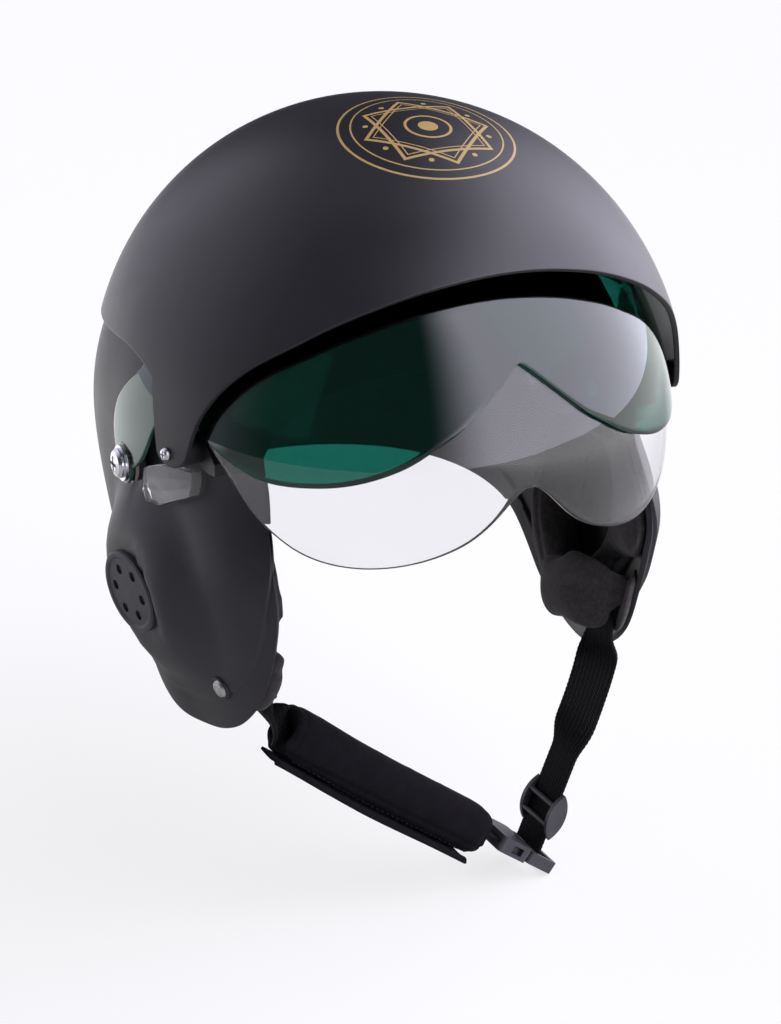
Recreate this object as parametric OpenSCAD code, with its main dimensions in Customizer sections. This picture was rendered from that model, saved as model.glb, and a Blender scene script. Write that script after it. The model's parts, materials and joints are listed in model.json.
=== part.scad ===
// Pilot flight helmet with two raising visors, ear cups and a chin strap.
// Millimetres, Z up, front towards -Y, the wearer's right towards -X.
// The X axis is the visor pivot axis and the origin is midway along it.

/* [Shell] */
// Half width of the shell at its widest
shell_half_w = 121; // [100:1:145]
// Reach of the shell ahead of its centre
shell_front = 133; // [110:1:160]
// Reach of the shell behind its centre
shell_back = 125; // [105:1:150]
// Height of the shell above its centre
shell_up = 113; // [95:1:135]
// How slowly the ear flaps close in below the centre
shell_down = 230; // [180:5:300]
// Wall of the shell
shell_wall = 2.8; // [2:0.1:4]
// How far the ear cups swell out
ear_swell = 14; // [8:0.5:20]
// How far the rear of the shell swells out to meet the cover
rear_swell = 3; // [0:0.5:6]
// How far the ear flaps flare out towards their front edge
flap_flare = 17; // [8:1:20]
// How far the ear flaps stand out at the bottom
flap_spread = 8; // [4:0.5:12]
// Centre of the shell behind the pivots
shell_centre_y = 25; // [10:1:40]
// Centre of the shell above the pivots
shell_centre_z = 5; // [0:1:20]

/* [Visor cover] */
// Cover beyond the sun visor at the sides
cover_side_out = 3.5; // [3.5:0.5:8]
// Cover beyond the sun visor at the front
cover_front_out = 9.3; // [8:0.1:14]
// Cover beyond the shell at the back
cover_back_out = 3; // [3:0.5:8]
// Cover beyond the sun visor at the top
cover_top_out = 6.3; // [6:0.1:12]
// Centre of the cover above the pivots
cover_centre_z = 9.5; // [6:0.5:14]
// Wall of the cover
cover_wall = 2.5; // [2:0.1:4]
// Diameter of the screws through the cover tabs
tab_screw_d = 5.4; // [4:0.1:7]

/* [Visors] */
// Sheet thickness of both visors
visor_wall = 1.5; // [1.2:0.1:2.5]
// Clear visor beyond the shell at the sides
clear_side_out = 3; // [3:0.5:6]
// Clear visor beyond the shell at the top
clear_top_out = 9; // [8:0.5:14]
// Gap between the two visors at the sides
visor_side_gap = 1; // [1:0.1:3]
// Gap between the two visors over the face
visor_face_gap = 1.2; // [1:0.1:3]
// Radius of the visor hubs
hub_r = 9; // [7:0.5:12]
// Shank diameter of the pivot screws
pivot_d = 6; // [5:0.5:8]
// Diameter of the bright pivot washers
washer_d = 15.7; // [12:0.1:20]

/* [Ear cups and foam] */
// Diameter of the ear caps
cap_d = 38; // [30:1:46]
// Thickness of the ear caps
cap_h = 2.4; // [2:0.2:6]
// Diameter of the six ear cap holes
cap_hole_d = 4.6; // [3:0.2:7]
// Thickness of the ear pads
pad_thick = 14; // [8:1:20]
// Thickness of the crown foam
liner_thick = 15; // [8:1:22]
// Gap between the foam and the shell
foam_gap = 1.4; // [1:0.1:2]
// Gap between the ear pads and the shell
pad_gap = 2.4; // [2:0.1:3]
// Head diameter of the strap rivets
rivet_d = 8.4; // [6:0.2:12]

/* [Chin strap] */
// Width of the webbing
webbing_w = 20; // [15:1:26]
// Thickness of the webbing
webbing_t = 1.6; // [1:0.1:2.4]
// Length of the padded sleeve
sleeve_len = 131; // [90:1:160]
// Height of the padded sleeve
sleeve_h = 22; // [14:1:30]
// Depth of the padded sleeve from front to back
sleeve_w = 28; // [22:1:40]
// How far the buckle reaches beyond the webbing at each side
buckle_side = 3; // [3:0.5:6]
// Length of the buckle's prongs
prong_len = 12.5; // [10:0.5:13]

/* [Hidden] */
$fn = 48;

// Running clearance between plates that turn on each other.
slip = 0.15;
// Clearance that keeps separate fixed pieces apart.
seat_gap = 0.25;
// Clearance of screws, pins and rivets in their holes, on the diameter.
hole_gap = 0.2;
// Extra reach of the tools that cut right through a piece.
overrun = 3;

clear_half_w = shell_half_w + clear_side_out;
clear_radius = shell_centre_z + shell_up + clear_top_out;
sun_half_w = clear_half_w + visor_wall + visor_side_gap;
sun_radius = clear_radius + visor_wall + visor_face_gap;
cover_half_w = sun_half_w + cover_side_out;
cover_front = sun_radius + cover_front_out;
cover_back = shell_centre_y + shell_back + rear_swell + cover_back_out;
cover_up = sun_radius + cover_top_out;

shell_c = [0, shell_centre_y, shell_centre_z];
cover_c = [0, 0, cover_centre_z];

function smooth(t) = let(u = max(0, min(1, t))) u * u * (3 - 2 * u);
function mix(a, b, t) = a + (b - a) * t;
function unit(v) = v / norm(v);
// Direction from an azimuth counted from the front and an angle down from the top.
function aim(az, th) = [sin(th) * sin(az), -sin(th) * cos(az), cos(th)];

// Middle of the ear cup swelling, as azimuth and angle from the top.
cup_az = 76.3;
cup_angle = 115.4;
cup_dir = aim(cup_az, cup_angle);
cup_outer_share = 0.36;
cup_inner_share = 0.15;

function cup_rise(d) = ear_swell * smooth((cup_outer_share - norm([abs(d[0]), d[1], d[2]] - cup_dir))
  / (cup_outer_share - cup_inner_share));
function rear_rise(d) = rear_swell * smooth(d[1] * 2.4) * smooth(d[2] * 1.8 + 1);
function flap_rise(d) = flap_flare * smooth((-d[1] - 0.2) / 0.45) * smooth(-d[2] / 0.35)
  + flap_spread * smooth((-d[2] - 0.5) / 0.3) * smooth((0.25 - d[1]) / 0.4);
function shell_r(d) = let(b = d[1] < 0 ? shell_front : shell_back, c = d[2] > 0 ? shell_up : shell_down)
  1 / norm([d[0] / shell_half_w, d[1] / b, d[2] / c]) + cup_rise(d) + rear_rise(d) + flap_rise(d);
function cover_r(d) = let(b = d[1] < 0 ? cover_front : cover_back)
  1 / norm([d[0] / cover_half_w, d[1] / b, d[2] / cover_up]);
function shell_at(d, off) = shell_c + d * (shell_r(d) + off);
function cover_at(d, off) = cover_c + d * (cover_r(d) + off);

// Half width of the shell surface at a height and depth, found by halving.
function shell_miss(x, y, z, off) = let(v = [x, y, z] - shell_c) norm(v) - shell_r(unit(v)) - off;
function shell_x(y, z, off, lo, hi, n) = let(m = (lo + hi) / 2)
  n == 0 ? m : shell_miss(m, y, z, off) > 0 ? shell_x(y, z, off, lo, m, n - 1)
    : shell_x(y, z, off, m, hi, n - 1);
function wall_x(y, z, off) = shell_x(y, z, off, shell_half_w / 4, shell_half_w * 1.3, 18);
function cover_miss(x, y, z, off) = let(v = [x, y, z] - cover_c) norm(v) - cover_r(unit(v)) - off;
function cover_x(y, z, off, lo, hi, n) = let(m = (lo + hi) / 2)
  n == 0 ? m : cover_miss(m, y, z, off) > 0 ? cover_x(y, z, off, lo, m, n - 1)
    : cover_x(y, z, off, m, hi, n - 1);

// Rounds a list by putting a point midway along each span.
function bend_mid(a, b, c, d) = (9 * (b + c) - a - d) / 16;
function refine(l, first, last) = let(n = len(l)) [for (i = [0 : 2 * n - 2])
  i % 2 == 0 ? l[i / 2] : let(k = (i - 1) / 2)
    bend_mid(k == 0 ? first : l[k - 1], l[k], l[k + 1], k + 2 == n ? last : l[k + 2])];
function mirror_az(p) = [-p[0], p[1]];
function around_back(p) = [360 - p[0], p[1]];
function fine_rim(l) = refine(l, mirror_az(l[1]), around_back(l[len(l) - 2]));
function full_rim(l) = concat(l, [for (i = [len(l) - 2 : -1 : 1]) around_back(l[i])]);

// Faces of a domed double wall: two poles, then outer rows, then inner rows.
function dome_faces(n, m) = let(o = 2, q = 2 + n * m) concat(
  [for (j = [0 : n - 1]) [0, o + (j + 1) % n, o + j]],
  [for (j = [0 : n - 1]) [1, q + j, q + (j + 1) % n]],
  [for (k = [0 : m - 2], j = [0 : n - 1]) let(a = k * n + j, b = k * n + (j + 1) % n)
    each [[o + a, o + b, o + b + n], [o + a, o + b + n, o + a + n]]],
  [for (k = [0 : m - 2], j = [0 : n - 1]) let(a = k * n + j, b = k * n + (j + 1) % n)
    each [[q + a, q + b + n, q + b], [q + a, q + a + n, q + b + n]]],
  [for (j = [0 : n - 1]) let(a = (m - 1) * n + j, b = (m - 1) * n + (j + 1) % n)
    each [[o + a, o + b, q + b], [o + a, q + b, q + a]]]);

// Faces of an open sheet of n by m points, outer side first, then inner.
function sheet_faces(n, m) = let(q = n * m) concat(
  [for (j = [0 : n - 2], k = [0 : m - 2]) let(a = j * m + k, b = a + m)
    each [[a + 1, b + 1, b], [a + 1, b, a], [q + a + 1, q + b, q + b + 1], [q + a + 1, q + a, q + b]]],
  [for (j = [0 : n - 2]) let(a = j * m, b = a + m, e = m - 1)
    each [[a, b, q + b], [a, q + b, q + a], [b + e, a + e, q + a + e], [b + e, q + a + e, q + b + e]]],
  [for (k = [0 : m - 2]) let(a = k, b = (n - 1) * m + k)
    each [[a + 1, a, q + a], [a + 1, q + a, q + a + 1], [b, b + 1, q + b + 1], [b, q + b + 1, q + b]]]);

// Faces of a ring of n closed loops with p points each.
function ring_faces(n, p) = [for (i = [0 : n - 1], k = [0 : p - 1])
  let(a = i * p + k, b = i * p + (k + 1) % p, c = ((i + 1) % n) * p + k, d = ((i + 1) % n) * p + (k + 1) % p)
    each [[a, c, d], [a, d, b]]];

// Faces of a loft of n loops with p points each, closed by two end points.
function loft_faces(n, p) = let(e = n * p) concat(
  [for (i = [0 : n - 2], k = [0 : p - 1])
    let(a = i * p + k, b = i * p + (k + 1) % p) each [[a, b, b + p], [a, b + p, a + p]]],
  [for (k = [0 : p - 1]) [e, (k + 1) % p, k]],
  [for (k = [0 : p - 1]) [e + 1, (n - 1) * p + k, (n - 1) * p + (k + 1) % p]]);

module both_sides() {
  children();
  mirror([1, 0, 0]) children();
}

// A disc about the pivot axis between two distances from the middle.
module pivot_disc(near, far, r) {
  translate([near, 0, 0]) rotate([0, 90, 0]) cylinder(h = far - near, r = r);
}

// Puts its children at a point with Z along a direction.
module at_point(p, n) {
  translate(p) rotate([0, acos(n[2]), atan2(n[1], n[0])]) children();
}

// Helmet shell.
// Rim of the shell, front to back, as azimuth and angle from the top.
shell_rim_deg = [[0, 68], [11, 68.2], [22, 69.5], [32, 72.5], [40, 78], [45.4, 86], [47.5, 94.1],
  [44.7, 99.1], [42.3, 103.4], [40.8, 109], [41.4, 115.6], [43.4, 122.6], [45.8, 127.1], [49.2, 131],
  [54.1, 134.9], [61.5, 138.6], [70, 140.6], [80, 141], [89, 139.8], [97, 137], [104, 132.6],
  [112, 127.6], [124, 123.4], [140, 120.5], [160, 119], [180, 118.5]];
dome_shares = [0.13, 0.26, 0.38, 0.48, 0.56, 0.62, 0.67, 0.71, 0.745, 0.775, 0.805, 0.84, 0.875, 0.91,
  0.94, 0.965, 0.985, 1];

module shell_body() {
  rim = full_rim(fine_rim(shell_rim_deg));
  n = len(rim);
  m = len(dome_shares);
  dirs = [for (t = dome_shares, j = [0 : n - 1]) aim(mix(360 * j / n, rim[j][0], t), rim[j][1] * t)];
  polyhedron(concat([shell_at([0, 0, 1], 0), shell_at([0, 0, 1], -shell_wall)],
    [for (d = dirs) shell_at(d, 0)], [for (d = dirs) shell_at(d, -shell_wall)]), dome_faces(n, m));
}

// Stack along the pivot axis, from the shell outwards.
collar_t = 3.15;
collar_face = clear_half_w - visor_wall - slip;
boss_face = collar_face - collar_t;
sun_inner = sun_half_w - visor_wall;
washer_face = sun_half_w + slip;
washer_t = 1.2;
head_face = washer_face + washer_t;
head_h = 3.2;
boss_r = 10.5;
boss_h = 5.2;
boss_back = boss_face - boss_h;
nut_t = 5;
bore_d = pivot_d + hole_gap;
// Steps of the collar and of the spacer inside the hubs.
collar_step = 0.4;
spacer_step = 0.8;

// Ear cap seat.
cap_dir = unit([0.972, -0.2, -0.12]);
cap_at = shell_at(cup_dir, 0);
cap_lip = 0.8;
cap_seat_r = cap_d / 2 - cap_lip;
cap_seat_h = 0.3;

// Strap rivet: on the outer surface of the flap.
rivet_az = 56;
rivet_angle = 128.2;
rivet_out = shell_at(aim(rivet_az, rivet_angle), 0);
rivet_dir = unit([0.949, -0.252, -0.19]);
rivet_seat = 0.7;
rivet_shank_d = 4;
rivet_seat_rim = 0.5;

module shell_seats() {
  pivot_disc(boss_back, boss_face, boss_r);
  at_point(cap_at, cap_dir) translate([0, 0, -shell_wall])
    cylinder(h = shell_wall + cap_seat_h, r = cap_seat_r);
  at_point(rivet_out, rivet_dir) translate([0, 0, -shell_wall])
    cylinder(h = shell_wall + rivet_seat, r = rivet_d / 2 + rivet_seat_rim);
}

module helmet_shell() {
  color([0.16, 0.16, 0.18]) difference() {
    union() {
      shell_body();
      both_sides() shell_seats();
    }
    pivot_disc(-shell_half_w * 1.2, shell_half_w * 1.2, bore_d / 2);
    both_sides() pivot_disc(boss_face, boss_face + ear_swell, boss_r);
    both_sides() at_point(cap_at, cap_dir) translate([0, 0, cap_seat_h])
      cylinder(h = ear_swell, r = cap_d / 2 + seat_gap);
    both_sides() at_point(rivet_out, rivet_dir) translate([0, 0, -shell_wall * 2])
      cylinder(h = shell_wall * 4, d = rivet_shank_d + hole_gap);
  }
}

// Crown foam.
liner_rim_deg = [[0, 56], [24, 57], [48, 64], [72, 74], [98, 80], [125, 88], [152, 94], [180, 96]];
liner_shares = [0.2, 0.4, 0.58, 0.74, 0.88, 1];

module foam_liner() {
  rim = full_rim(fine_rim(liner_rim_deg));
  n = len(rim);
  m = len(liner_shares);
  dirs = [for (t = liner_shares, j = [0 : n - 1]) aim(mix(360 * j / n, rim[j][0], t), rim[j][1] * t)];
  out = -shell_wall - foam_gap;
  color([0.12, 0.11, 0.11]) polyhedron(concat(
    [shell_at([0, 0, 1], out), shell_at([0, 0, 1], out - liner_thick)],
    [for (i = [0 : len(dirs) - 1]) shell_at(dirs[i], i >= n * (m - 1) ? out - liner_thick * 0.25 : out)],
    [for (i = [0 : len(dirs) - 1]) shell_at(dirs[i], out - liner_thick * (i >= n * (m - 1) ? 0.75 : 1))]),
    dome_faces(n, m));
}

// Visor cover.
cover_rim_deg = [[0, 52.5], [7, 52.8], [14, 53.7], [21.5, 55.2], [29.5, 57.6], [37.3, 60.6],
  [44.5, 64.2], [51.5, 68], [56.5, 71.8], [60, 75.6], [62.6, 79.6], [64.2, 84], [65.3, 87],
  [67.6, 88.6], [70.6, 88.6], [72.7, 87], [73, 84.4], [73.4, 79.8], [74.8, 76], [77.5, 73.6],
  [82, 71.8], [90, 70.6], [104, 71.2], [120, 72.4], [140, 73.6], [160, 74.2], [180, 74.4]];
cover_shares = [0.16, 0.32, 0.46, 0.59, 0.7, 0.8, 0.88, 0.95, 1];
tab_y = -45;
tab_z = 17.5;
tab_x = cover_x(tab_y, tab_z, 0, cover_half_w / 2, cover_half_w * 1.2, 18);
tab_out = [tab_x, tab_y, tab_z];
tab_dir = unit([tab_x / (cover_half_w * cover_half_w), tab_y / (cover_front * cover_front),
  (tab_z - cover_centre_z) / (cover_up * cover_up)]);
tab_shank_d = 3;
tab_seat_h = 0.15;
tab_seat_rim = 0.4;

module visor_cover() {
  rim = full_rim(fine_rim(cover_rim_deg));
  n = len(rim);
  m = len(cover_shares);
  dirs = [for (t = cover_shares, j = [0 : n - 1])
    aim(mix(360 * j / n, rim[j][0], smooth(t) * 0.5 + t * 0.5), rim[j][1] * t)];
  color([0.17, 0.17, 0.19]) difference() {
    union() {
      polyhedron(concat([cover_at([0, 0, 1], 0), cover_at([0, 0, 1], -cover_wall)],
        [for (d = dirs) cover_at(d, 0)], [for (d = dirs) cover_at(d, -cover_wall)]), dome_faces(n, m));
      both_sides() at_point(tab_out, tab_dir) translate([0, 0, -cover_wall * 0.8])
        cylinder(h = cover_wall * 0.8 + tab_seat_h, r = tab_screw_d / 2 + tab_seat_rim);
    }
    both_sides() at_point(tab_out, tab_dir) translate([0, 0, -cover_wall * 3])
      cylinder(h = cover_wall * 6, d = tab_shank_d + hole_gap);
  }
}

// Ear pads.
pad_rim_deg = [[43, 100.5], [40.8, 105], [39.8, 110], [40.8, 115], [45.6, 117.8], [51.6, 120.6],
  [58.5, 123], [63.5, 129], [68, 136], [75, 139.8], [84, 140.2], [92, 138.2], [98.5, 133],
  [101, 124], [99.5, 113], [96, 104.5], [88, 102], [78, 102], [66, 99.5], [52, 97.3]];
pad_hole_deg = [76, 117.5];
pad_hole_az = 11.5;
pad_hole_angle = 13;
// Sections through the pad, from its edge to the ear recess, as share of the way and of the thickness.
pad_shares = [[0.03, 0], [0, 0.2], [0.03, 0.5], [0.14, 0.78], [0.34, 0.97], [0.6, 1], [0.82, 0.92],
  [0.97, 0.66], [1, 0.35], [0.97, 0], [0.66, 0], [0.34, 0]];

function fine_ring(l) = let(n = len(l)) [for (i = [0 : 2 * n - 1]) i % 2 == 0 ? l[i / 2]
  : let(k = (i - 1) / 2) bend_mid(l[(k + n - 1) % n], l[k], l[(k + 1) % n], l[(k + 2) % n])];

module ear_pad() {
  rim = fine_ring(pad_rim_deg);
  n = len(rim);
  color([0.2, 0.19, 0.19]) polyhedron([for (i = [0 : n - 1], s = pad_shares)
    let(w = rim[i] - pad_hole_deg, a = atan2(w[1], w[0]),
      hole = pad_hole_deg + [pad_hole_az * cos(a), pad_hole_angle * sin(a)], q = mix(rim[i], hole, s[0]))
    shell_at(aim(q[0], q[1]), -shell_wall - pad_gap - pad_thick * s[1])], ring_faces(n, len(pad_shares)));
}

module left_ear_pad() {
  ear_pad();
}

module right_ear_pad() {
  mirror([1, 0, 0]) ear_pad();
}

// Ear caps.
cap_ring_r = cap_d * 0.285;
// The cap's raised rim: chamfer, inner edge and foot, in from the outside.
cap_chamfer = 0.9;
cap_rim_w = 2.4;
cap_foot_w = 3.4;

module ear_cap() {
  color([0.2, 0.2, 0.21]) at_point(cap_at, cap_dir) translate([0, 0, cap_seat_h + seat_gap]) difference() {
    rotate_extrude()
      polygon([[0, 0], [cap_d / 2, 0], [cap_d / 2, cap_h * 0.7], [cap_d / 2 - cap_chamfer, cap_h],
        [cap_d / 2 - cap_rim_w, cap_h], [cap_d / 2 - cap_foot_w, cap_h * 0.72], [0, cap_h * 0.85]]);
    for (i = [0 : 5]) rotate([0, 0, 60 * i + 30]) translate([cap_ring_r, 0, cap_h * 0.2])
      cylinder(h = cap_h, d = cap_hole_d);
  }
}

module left_ear_cap() {
  ear_cap();
}

module right_ear_cap() {
  mirror([1, 0, 0]) ear_cap();
}

// Stand-offs under the cover tabs.
foot_front = -57;
foot_len = 16;
foot_top = 22;
foot_y_shares = [0, 0.25, 0.5, 0.75, 1];
foot_low_shares = [0.41, 0.38, 0.36, 0.35, 0.34];
foot_high_shares = [0.64, 0.77, 0.91, 1, 1];
// The foot's thickness where it is least, at its back edge.
foot_least = 1.7;
foot_face = wall_x(foot_front + foot_len, foot_top * foot_low_shares[4], seat_gap) + foot_least;
foot_sink = 1;
boss_len = (tab_x - foot_face) / tab_dir[0] - cover_wall - seat_gap + foot_sink;
standoff_r = 6.5;

module foot_block() {
  n = len(foot_y_shares);
  rows = 4;
  grid = [for (j = [n - 1 : -1 : 0], k = [0 : rows]) [foot_front + foot_len * foot_y_shares[j],
    foot_top * mix(foot_low_shares[j], foot_high_shares[j], k / rows)]];
  mirror([1, 0, 0]) polyhedron(concat([for (g = grid) [-foot_face, g[0], g[1]]],
    [for (g = grid) [-wall_x(g[0], g[1], seat_gap), g[0], g[1]]]), sheet_faces(n, rows + 1));
}

module standoff() {
  color([0.05, 0.05, 0.06]) difference() {
    union() {
      foot_block();
      at_point(tab_out, tab_dir) translate([0, 0, -cover_wall - seat_gap - boss_len])
        cylinder(h = boss_len, r = standoff_r);
    }
    at_point(tab_out, tab_dir) translate([0, 0, -cover_wall - boss_len * 0.8])
      cylinder(h = boss_len, d = tab_shank_d);
  }
}

module left_standoff() {
  standoff();
}

module right_standoff() {
  mirror([1, 0, 0]) standoff();
}

// Clear blocks under the tabs.
block_front = -41;
block_len = 29;
block_drop = 12.5;
block_rise = 6.2;
block_y_shares = [0, 0.28, 0.55, 0.83, 1];
block_low_shares = [0.32, 0.64, 0.96, 1, 0.72];
block_high_shares = [1, 0.97, 0.87, 0.48, 0.08];
block_t = 4.2;
block_gap = 1.4;

module clear_block() {
  n = len(block_y_shares);
  rows = 3;
  grid = [for (j = [n - 1 : -1 : 0], k = [0 : rows]) [block_front + block_len * block_y_shares[j],
    mix(-block_drop * block_low_shares[j], block_rise * block_high_shares[j], k / rows)]];
  color([0.8, 0.85, 0.88, 0.5]) mirror([1, 0, 0]) polyhedron(concat(
    [for (g = grid) [-wall_x(g[0], g[1], block_gap + block_t), g[0], g[1]]],
    [for (g = grid) [-wall_x(g[0], g[1], block_gap), g[0], g[1]]]), sheet_faces(n, rows + 1));
}

module left_clear_block() {
  clear_block();
}

module right_clear_block() {
  mirror([1, 0, 0]) clear_block();
}

// A pan head with a cross recess, flat side at zero.
module pan_head(d, h) {
  difference() {
    rotate_extrude()
      polygon([[0, 0], [d / 2, 0], [d / 2, h * 0.35], [d * 0.42, h * 0.75], [d * 0.25, h], [0, h]]);
    for (a = [0, 90]) rotate([0, 0, a]) translate([-d * 0.27, -d * 0.06, h * 0.45])
      cube([d * 0.54, d * 0.12, h]);
  }
}

tab_head_h = 2;
// Clearance between a shank and the blind hole that holds it, on the diameter.
shank_gap = 0.1;

module tab_screws() {
  color([0.8, 0.8, 0.82]) both_sides() at_point(tab_out, tab_dir) translate([0, 0, tab_seat_h]) {
    pan_head(tab_screw_d, tab_head_h);
    translate([0, 0, -cover_wall - boss_len * 0.6])
      cylinder(h = cover_wall + boss_len * 0.6, d = tab_shank_d - shank_gap);
  }
}

// Visors.
// Edge tables: angle across from the middle, lower edge, upper edge, all in degrees.
clear_edge_deg = [[0, 4.4, 51], [1.6, 4.1, 51], [4.2, 2.1, 51], [8, -1.6, 51], [12.2, -4.8, 51.2],
  [17, -7.2, 51.4], [22.5, -9.2, 51.8], [28.5, -10.7, 52.4], [34.5, -11.4, 53.2],
  [40, -11, 54.4], [45, -9.1, 56], [50, -4.9, 58], [53.8, 0.8, 60], [57.2, 9, 62.5],
  [60.5, 18.5, 65], [62.4, 26, 66.5], [63.8, 36, 68], [66, 42.5, 70], [69, 45, 72],
  [72.5, 46, 73], [76, 44, 73], [79.5, 40, 72], [82.5, 32, 76], [84.8, 22, 84], [86.4, 10, 96]];
sun_edge_deg = [[0, 26.8, 51], [1.2, 26.2, 51], [3.6, 24.2, 51], [6.7, 21.6, 51], [10, 19, 51.2],
  [14, 16, 51.4], [18.8, 13.4, 51.8], [23.5, 11, 52.4], [29.3, 9.1, 53.2], [35, 8, 54.4],
  [40.7, 7.8, 56], [46.7, 8.4, 58.4], [51.6, 10.4, 61], [56, 14.8, 64], [59.4, 19.8, 67],
  [61.4, 24.5, 69], [62.8, 33, 70.5], [65, 40.5, 73], [68, 43.5, 77], [71.5, 43, 82],
  [75, 39, 96], [78, 31, 116], [81, 21, 134], [83.6, 12, 148], [85.2, 4, 158], [86.5, -4, 166]];
sheet_rows = 8;

function visor_at(w, r, phi, th) = [w * sin(phi), -r * cos(phi) * cos(th), r * cos(phi) * sin(th)];

module visor_sheet(edges, w, r) {
  n = len(edges);
  cols = concat([for (i = [n - 1 : -1 : 1]) [-edges[i][0], edges[i][1], edges[i][2]]], edges);
  pick = [for (c = cols, k = [0 : sheet_rows]) [c[0], mix(c[1], c[2], k / sheet_rows)]];
  polyhedron(concat([for (p = pick) visor_at(w, r, p[0], p[1])],
    [for (p = pick) visor_at(w - visor_wall, r - visor_wall, p[0], p[1])]),
    sheet_faces(len(cols), sheet_rows + 1));
}

module visor(edges, w, r) {
  difference() {
    union() {
      visor_sheet(edges, w, r);
      both_sides() pivot_disc(w - visor_wall, w, hub_r);
    }
    both_sides() pivot_disc(w - visor_wall * 3, w + visor_wall, bore_d / 2);
    both_sides() pivot_disc(w - visor_wall * 3, w - visor_wall, hub_r);
  }
}

module clear_visor() {
  color([0.85, 0.88, 0.9, 0.35]) visor(clear_edge_deg, clear_half_w, clear_radius);
}

module sun_visor() {
  color([0.05, 0.3, 0.2, 0.6]) visor(sun_edge_deg, sun_half_w, sun_radius);
}

// Pivot hardware.
module pivot_screws() {
  color([0.82, 0.82, 0.84]) both_sides() {
    pivot_disc(boss_back - nut_t, head_face, pivot_d / 2);
    translate([head_face, 0, 0]) rotate([0, 90, 0]) pan_head(pivot_d * 2.15, head_h);
  }
}

module pivot_ring(near, far, r) {
  difference() {
    pivot_disc(near, far, r);
    pivot_disc(near - far, far * 2, bore_d / 2);
  }
}

module pivot_washers() {
  color([0.8, 0.8, 0.82]) both_sides() pivot_ring(washer_face, head_face, washer_d / 2);
}

module pivot_collars() {
  color([0.05, 0.05, 0.05]) both_sides() pivot_ring(boss_face, collar_face, hub_r - collar_step);
}

module pivot_spacers() {
  color([0.05, 0.05, 0.05]) both_sides()
    pivot_ring(clear_half_w + slip, sun_inner - slip, hub_r - spacer_step);
}

module pivot_nuts() {
  color([0.7, 0.7, 0.72]) both_sides() difference() {
    translate([boss_back - nut_t, 0, 0]) rotate([0, 90, 0]) cylinder(h = nut_t, d = pivot_d * 1.9, $fn = 6);
    pivot_disc(boss_back - nut_t * 2, boss_back + nut_t, bore_d / 2);
  }
}

// Strap fixings inside the flaps.
pin_ahead = 5.6;
pin_below = 0.6;
anchor_in = 15.9;
swing_y = rivet_out[1] - pin_ahead;
swing_z = rivet_out[2] - pin_below;
anchor_face = rivet_out[0] - anchor_in;
anchor_half = 7;
anchor_gap = 0.9;
anchor_ahead = 6;
anchor_front = swing_y - anchor_ahead;
anchor_len = 19;
anchor_y_shares = [0, 0.21, 0.47, 0.74, 1];
eye_r = 9;
pin_d = 4;

module anchor_block() {
  n = len(anchor_y_shares);
  rows = 4;
  grid = [for (j = [n - 1 : -1 : 0], k = [0 : rows])
    [anchor_front + anchor_len * anchor_y_shares[j], swing_z + anchor_half * (2 * k / rows - 1)]];
  mirror([1, 0, 0]) polyhedron(concat(
    [for (g = grid) [-wall_x(g[0], g[1], -shell_wall - anchor_gap), g[0], g[1]]],
    [for (g = grid) [-anchor_face, g[0], g[1]]]), sheet_faces(n, rows + 1));
}

rivet_in = 7;

module strap_anchor() {
  color([0.06, 0.06, 0.06]) difference() {
    anchor_block();
    at_point(rivet_out, rivet_dir) translate([0, 0, -shell_wall - rivet_in])
      cylinder(h = shell_wall + rivet_in * 2, d = rivet_shank_d + hole_gap);
    translate([anchor_face - pin_d, swing_y, swing_z]) rotate([0, 90, 0])
      cylinder(h = pin_d * 2.2, d = pin_d);
  }
}

module left_strap_anchor() {
  strap_anchor();
}

module right_strap_anchor() {
  mirror([1, 0, 0]) strap_anchor();
}

module strap_rivets() {
  color([0.75, 0.74, 0.72]) both_sides() at_point(rivet_out, rivet_dir) {
    translate([0, 0, rivet_seat]) rotate_extrude()
      polygon([[0, 0], [rivet_d / 2, 0], [rivet_d * 0.42, rivet_d * 0.1], [rivet_d * 0.25, rivet_d * 0.15],
        [0, rivet_d * 0.17]]);
    translate([0, 0, -shell_wall - rivet_in * 0.93])
      cylinder(h = shell_wall + rivet_in * 0.93 + rivet_seat, d = rivet_shank_d);
  }
}

eye_out = anchor_face - slip;
eye_in = eye_out - webbing_t;
pin_head_t = 1.6;

module strap_pins() {
  color([0.75, 0.74, 0.72]) both_sides() translate([0, swing_y, swing_z]) rotate([0, 90, 0]) {
    translate([0, 0, eye_in - slip - pin_head_t]) cylinder(h = pin_head_t, d = pin_d * 2);
    translate([0, 0, eye_in - slip]) cylinder(h = webbing_t + 2 * slip + pin_d, d = pin_d - shank_gap);
  }
}

// Webbing: a band along a path in the XZ plane.
function turn(v) = [-v[1], v[0]];
function path_dir(p, i) = let(n = len(p)) unit(p[min(i + 1, n - 1)] - p[max(i - 1, 0)]);
function band(p, t) = concat([for (i = [0 : len(p) - 1]) p[i] + turn(path_dir(p, i)) * t / 2],
  [for (i = [len(p) - 1 : -1 : 0]) p[i] - turn(path_dir(p, i)) * t / 2]);

module webbing(p) {
  translate([0, swing_y, 0]) rotate([90, 0, 0]) translate([0, 0, -webbing_w / 2]) linear_extrude(webbing_w)
    polygon(band(p, webbing_t));
}

module strap_eye() {
  translate([eye_in, swing_y, swing_z]) rotate([0, 90, 0]) difference() {
    union() {
      cylinder(h = webbing_t, r = webbing_w / 2);
      translate([0, -webbing_w / 2, 0]) cube([eye_r, webbing_w, webbing_t]);
    }
    translate([0, 0, -webbing_t]) cylinder(h = webbing_t * 3, d = pin_d + hole_gap);
  }
}

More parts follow.
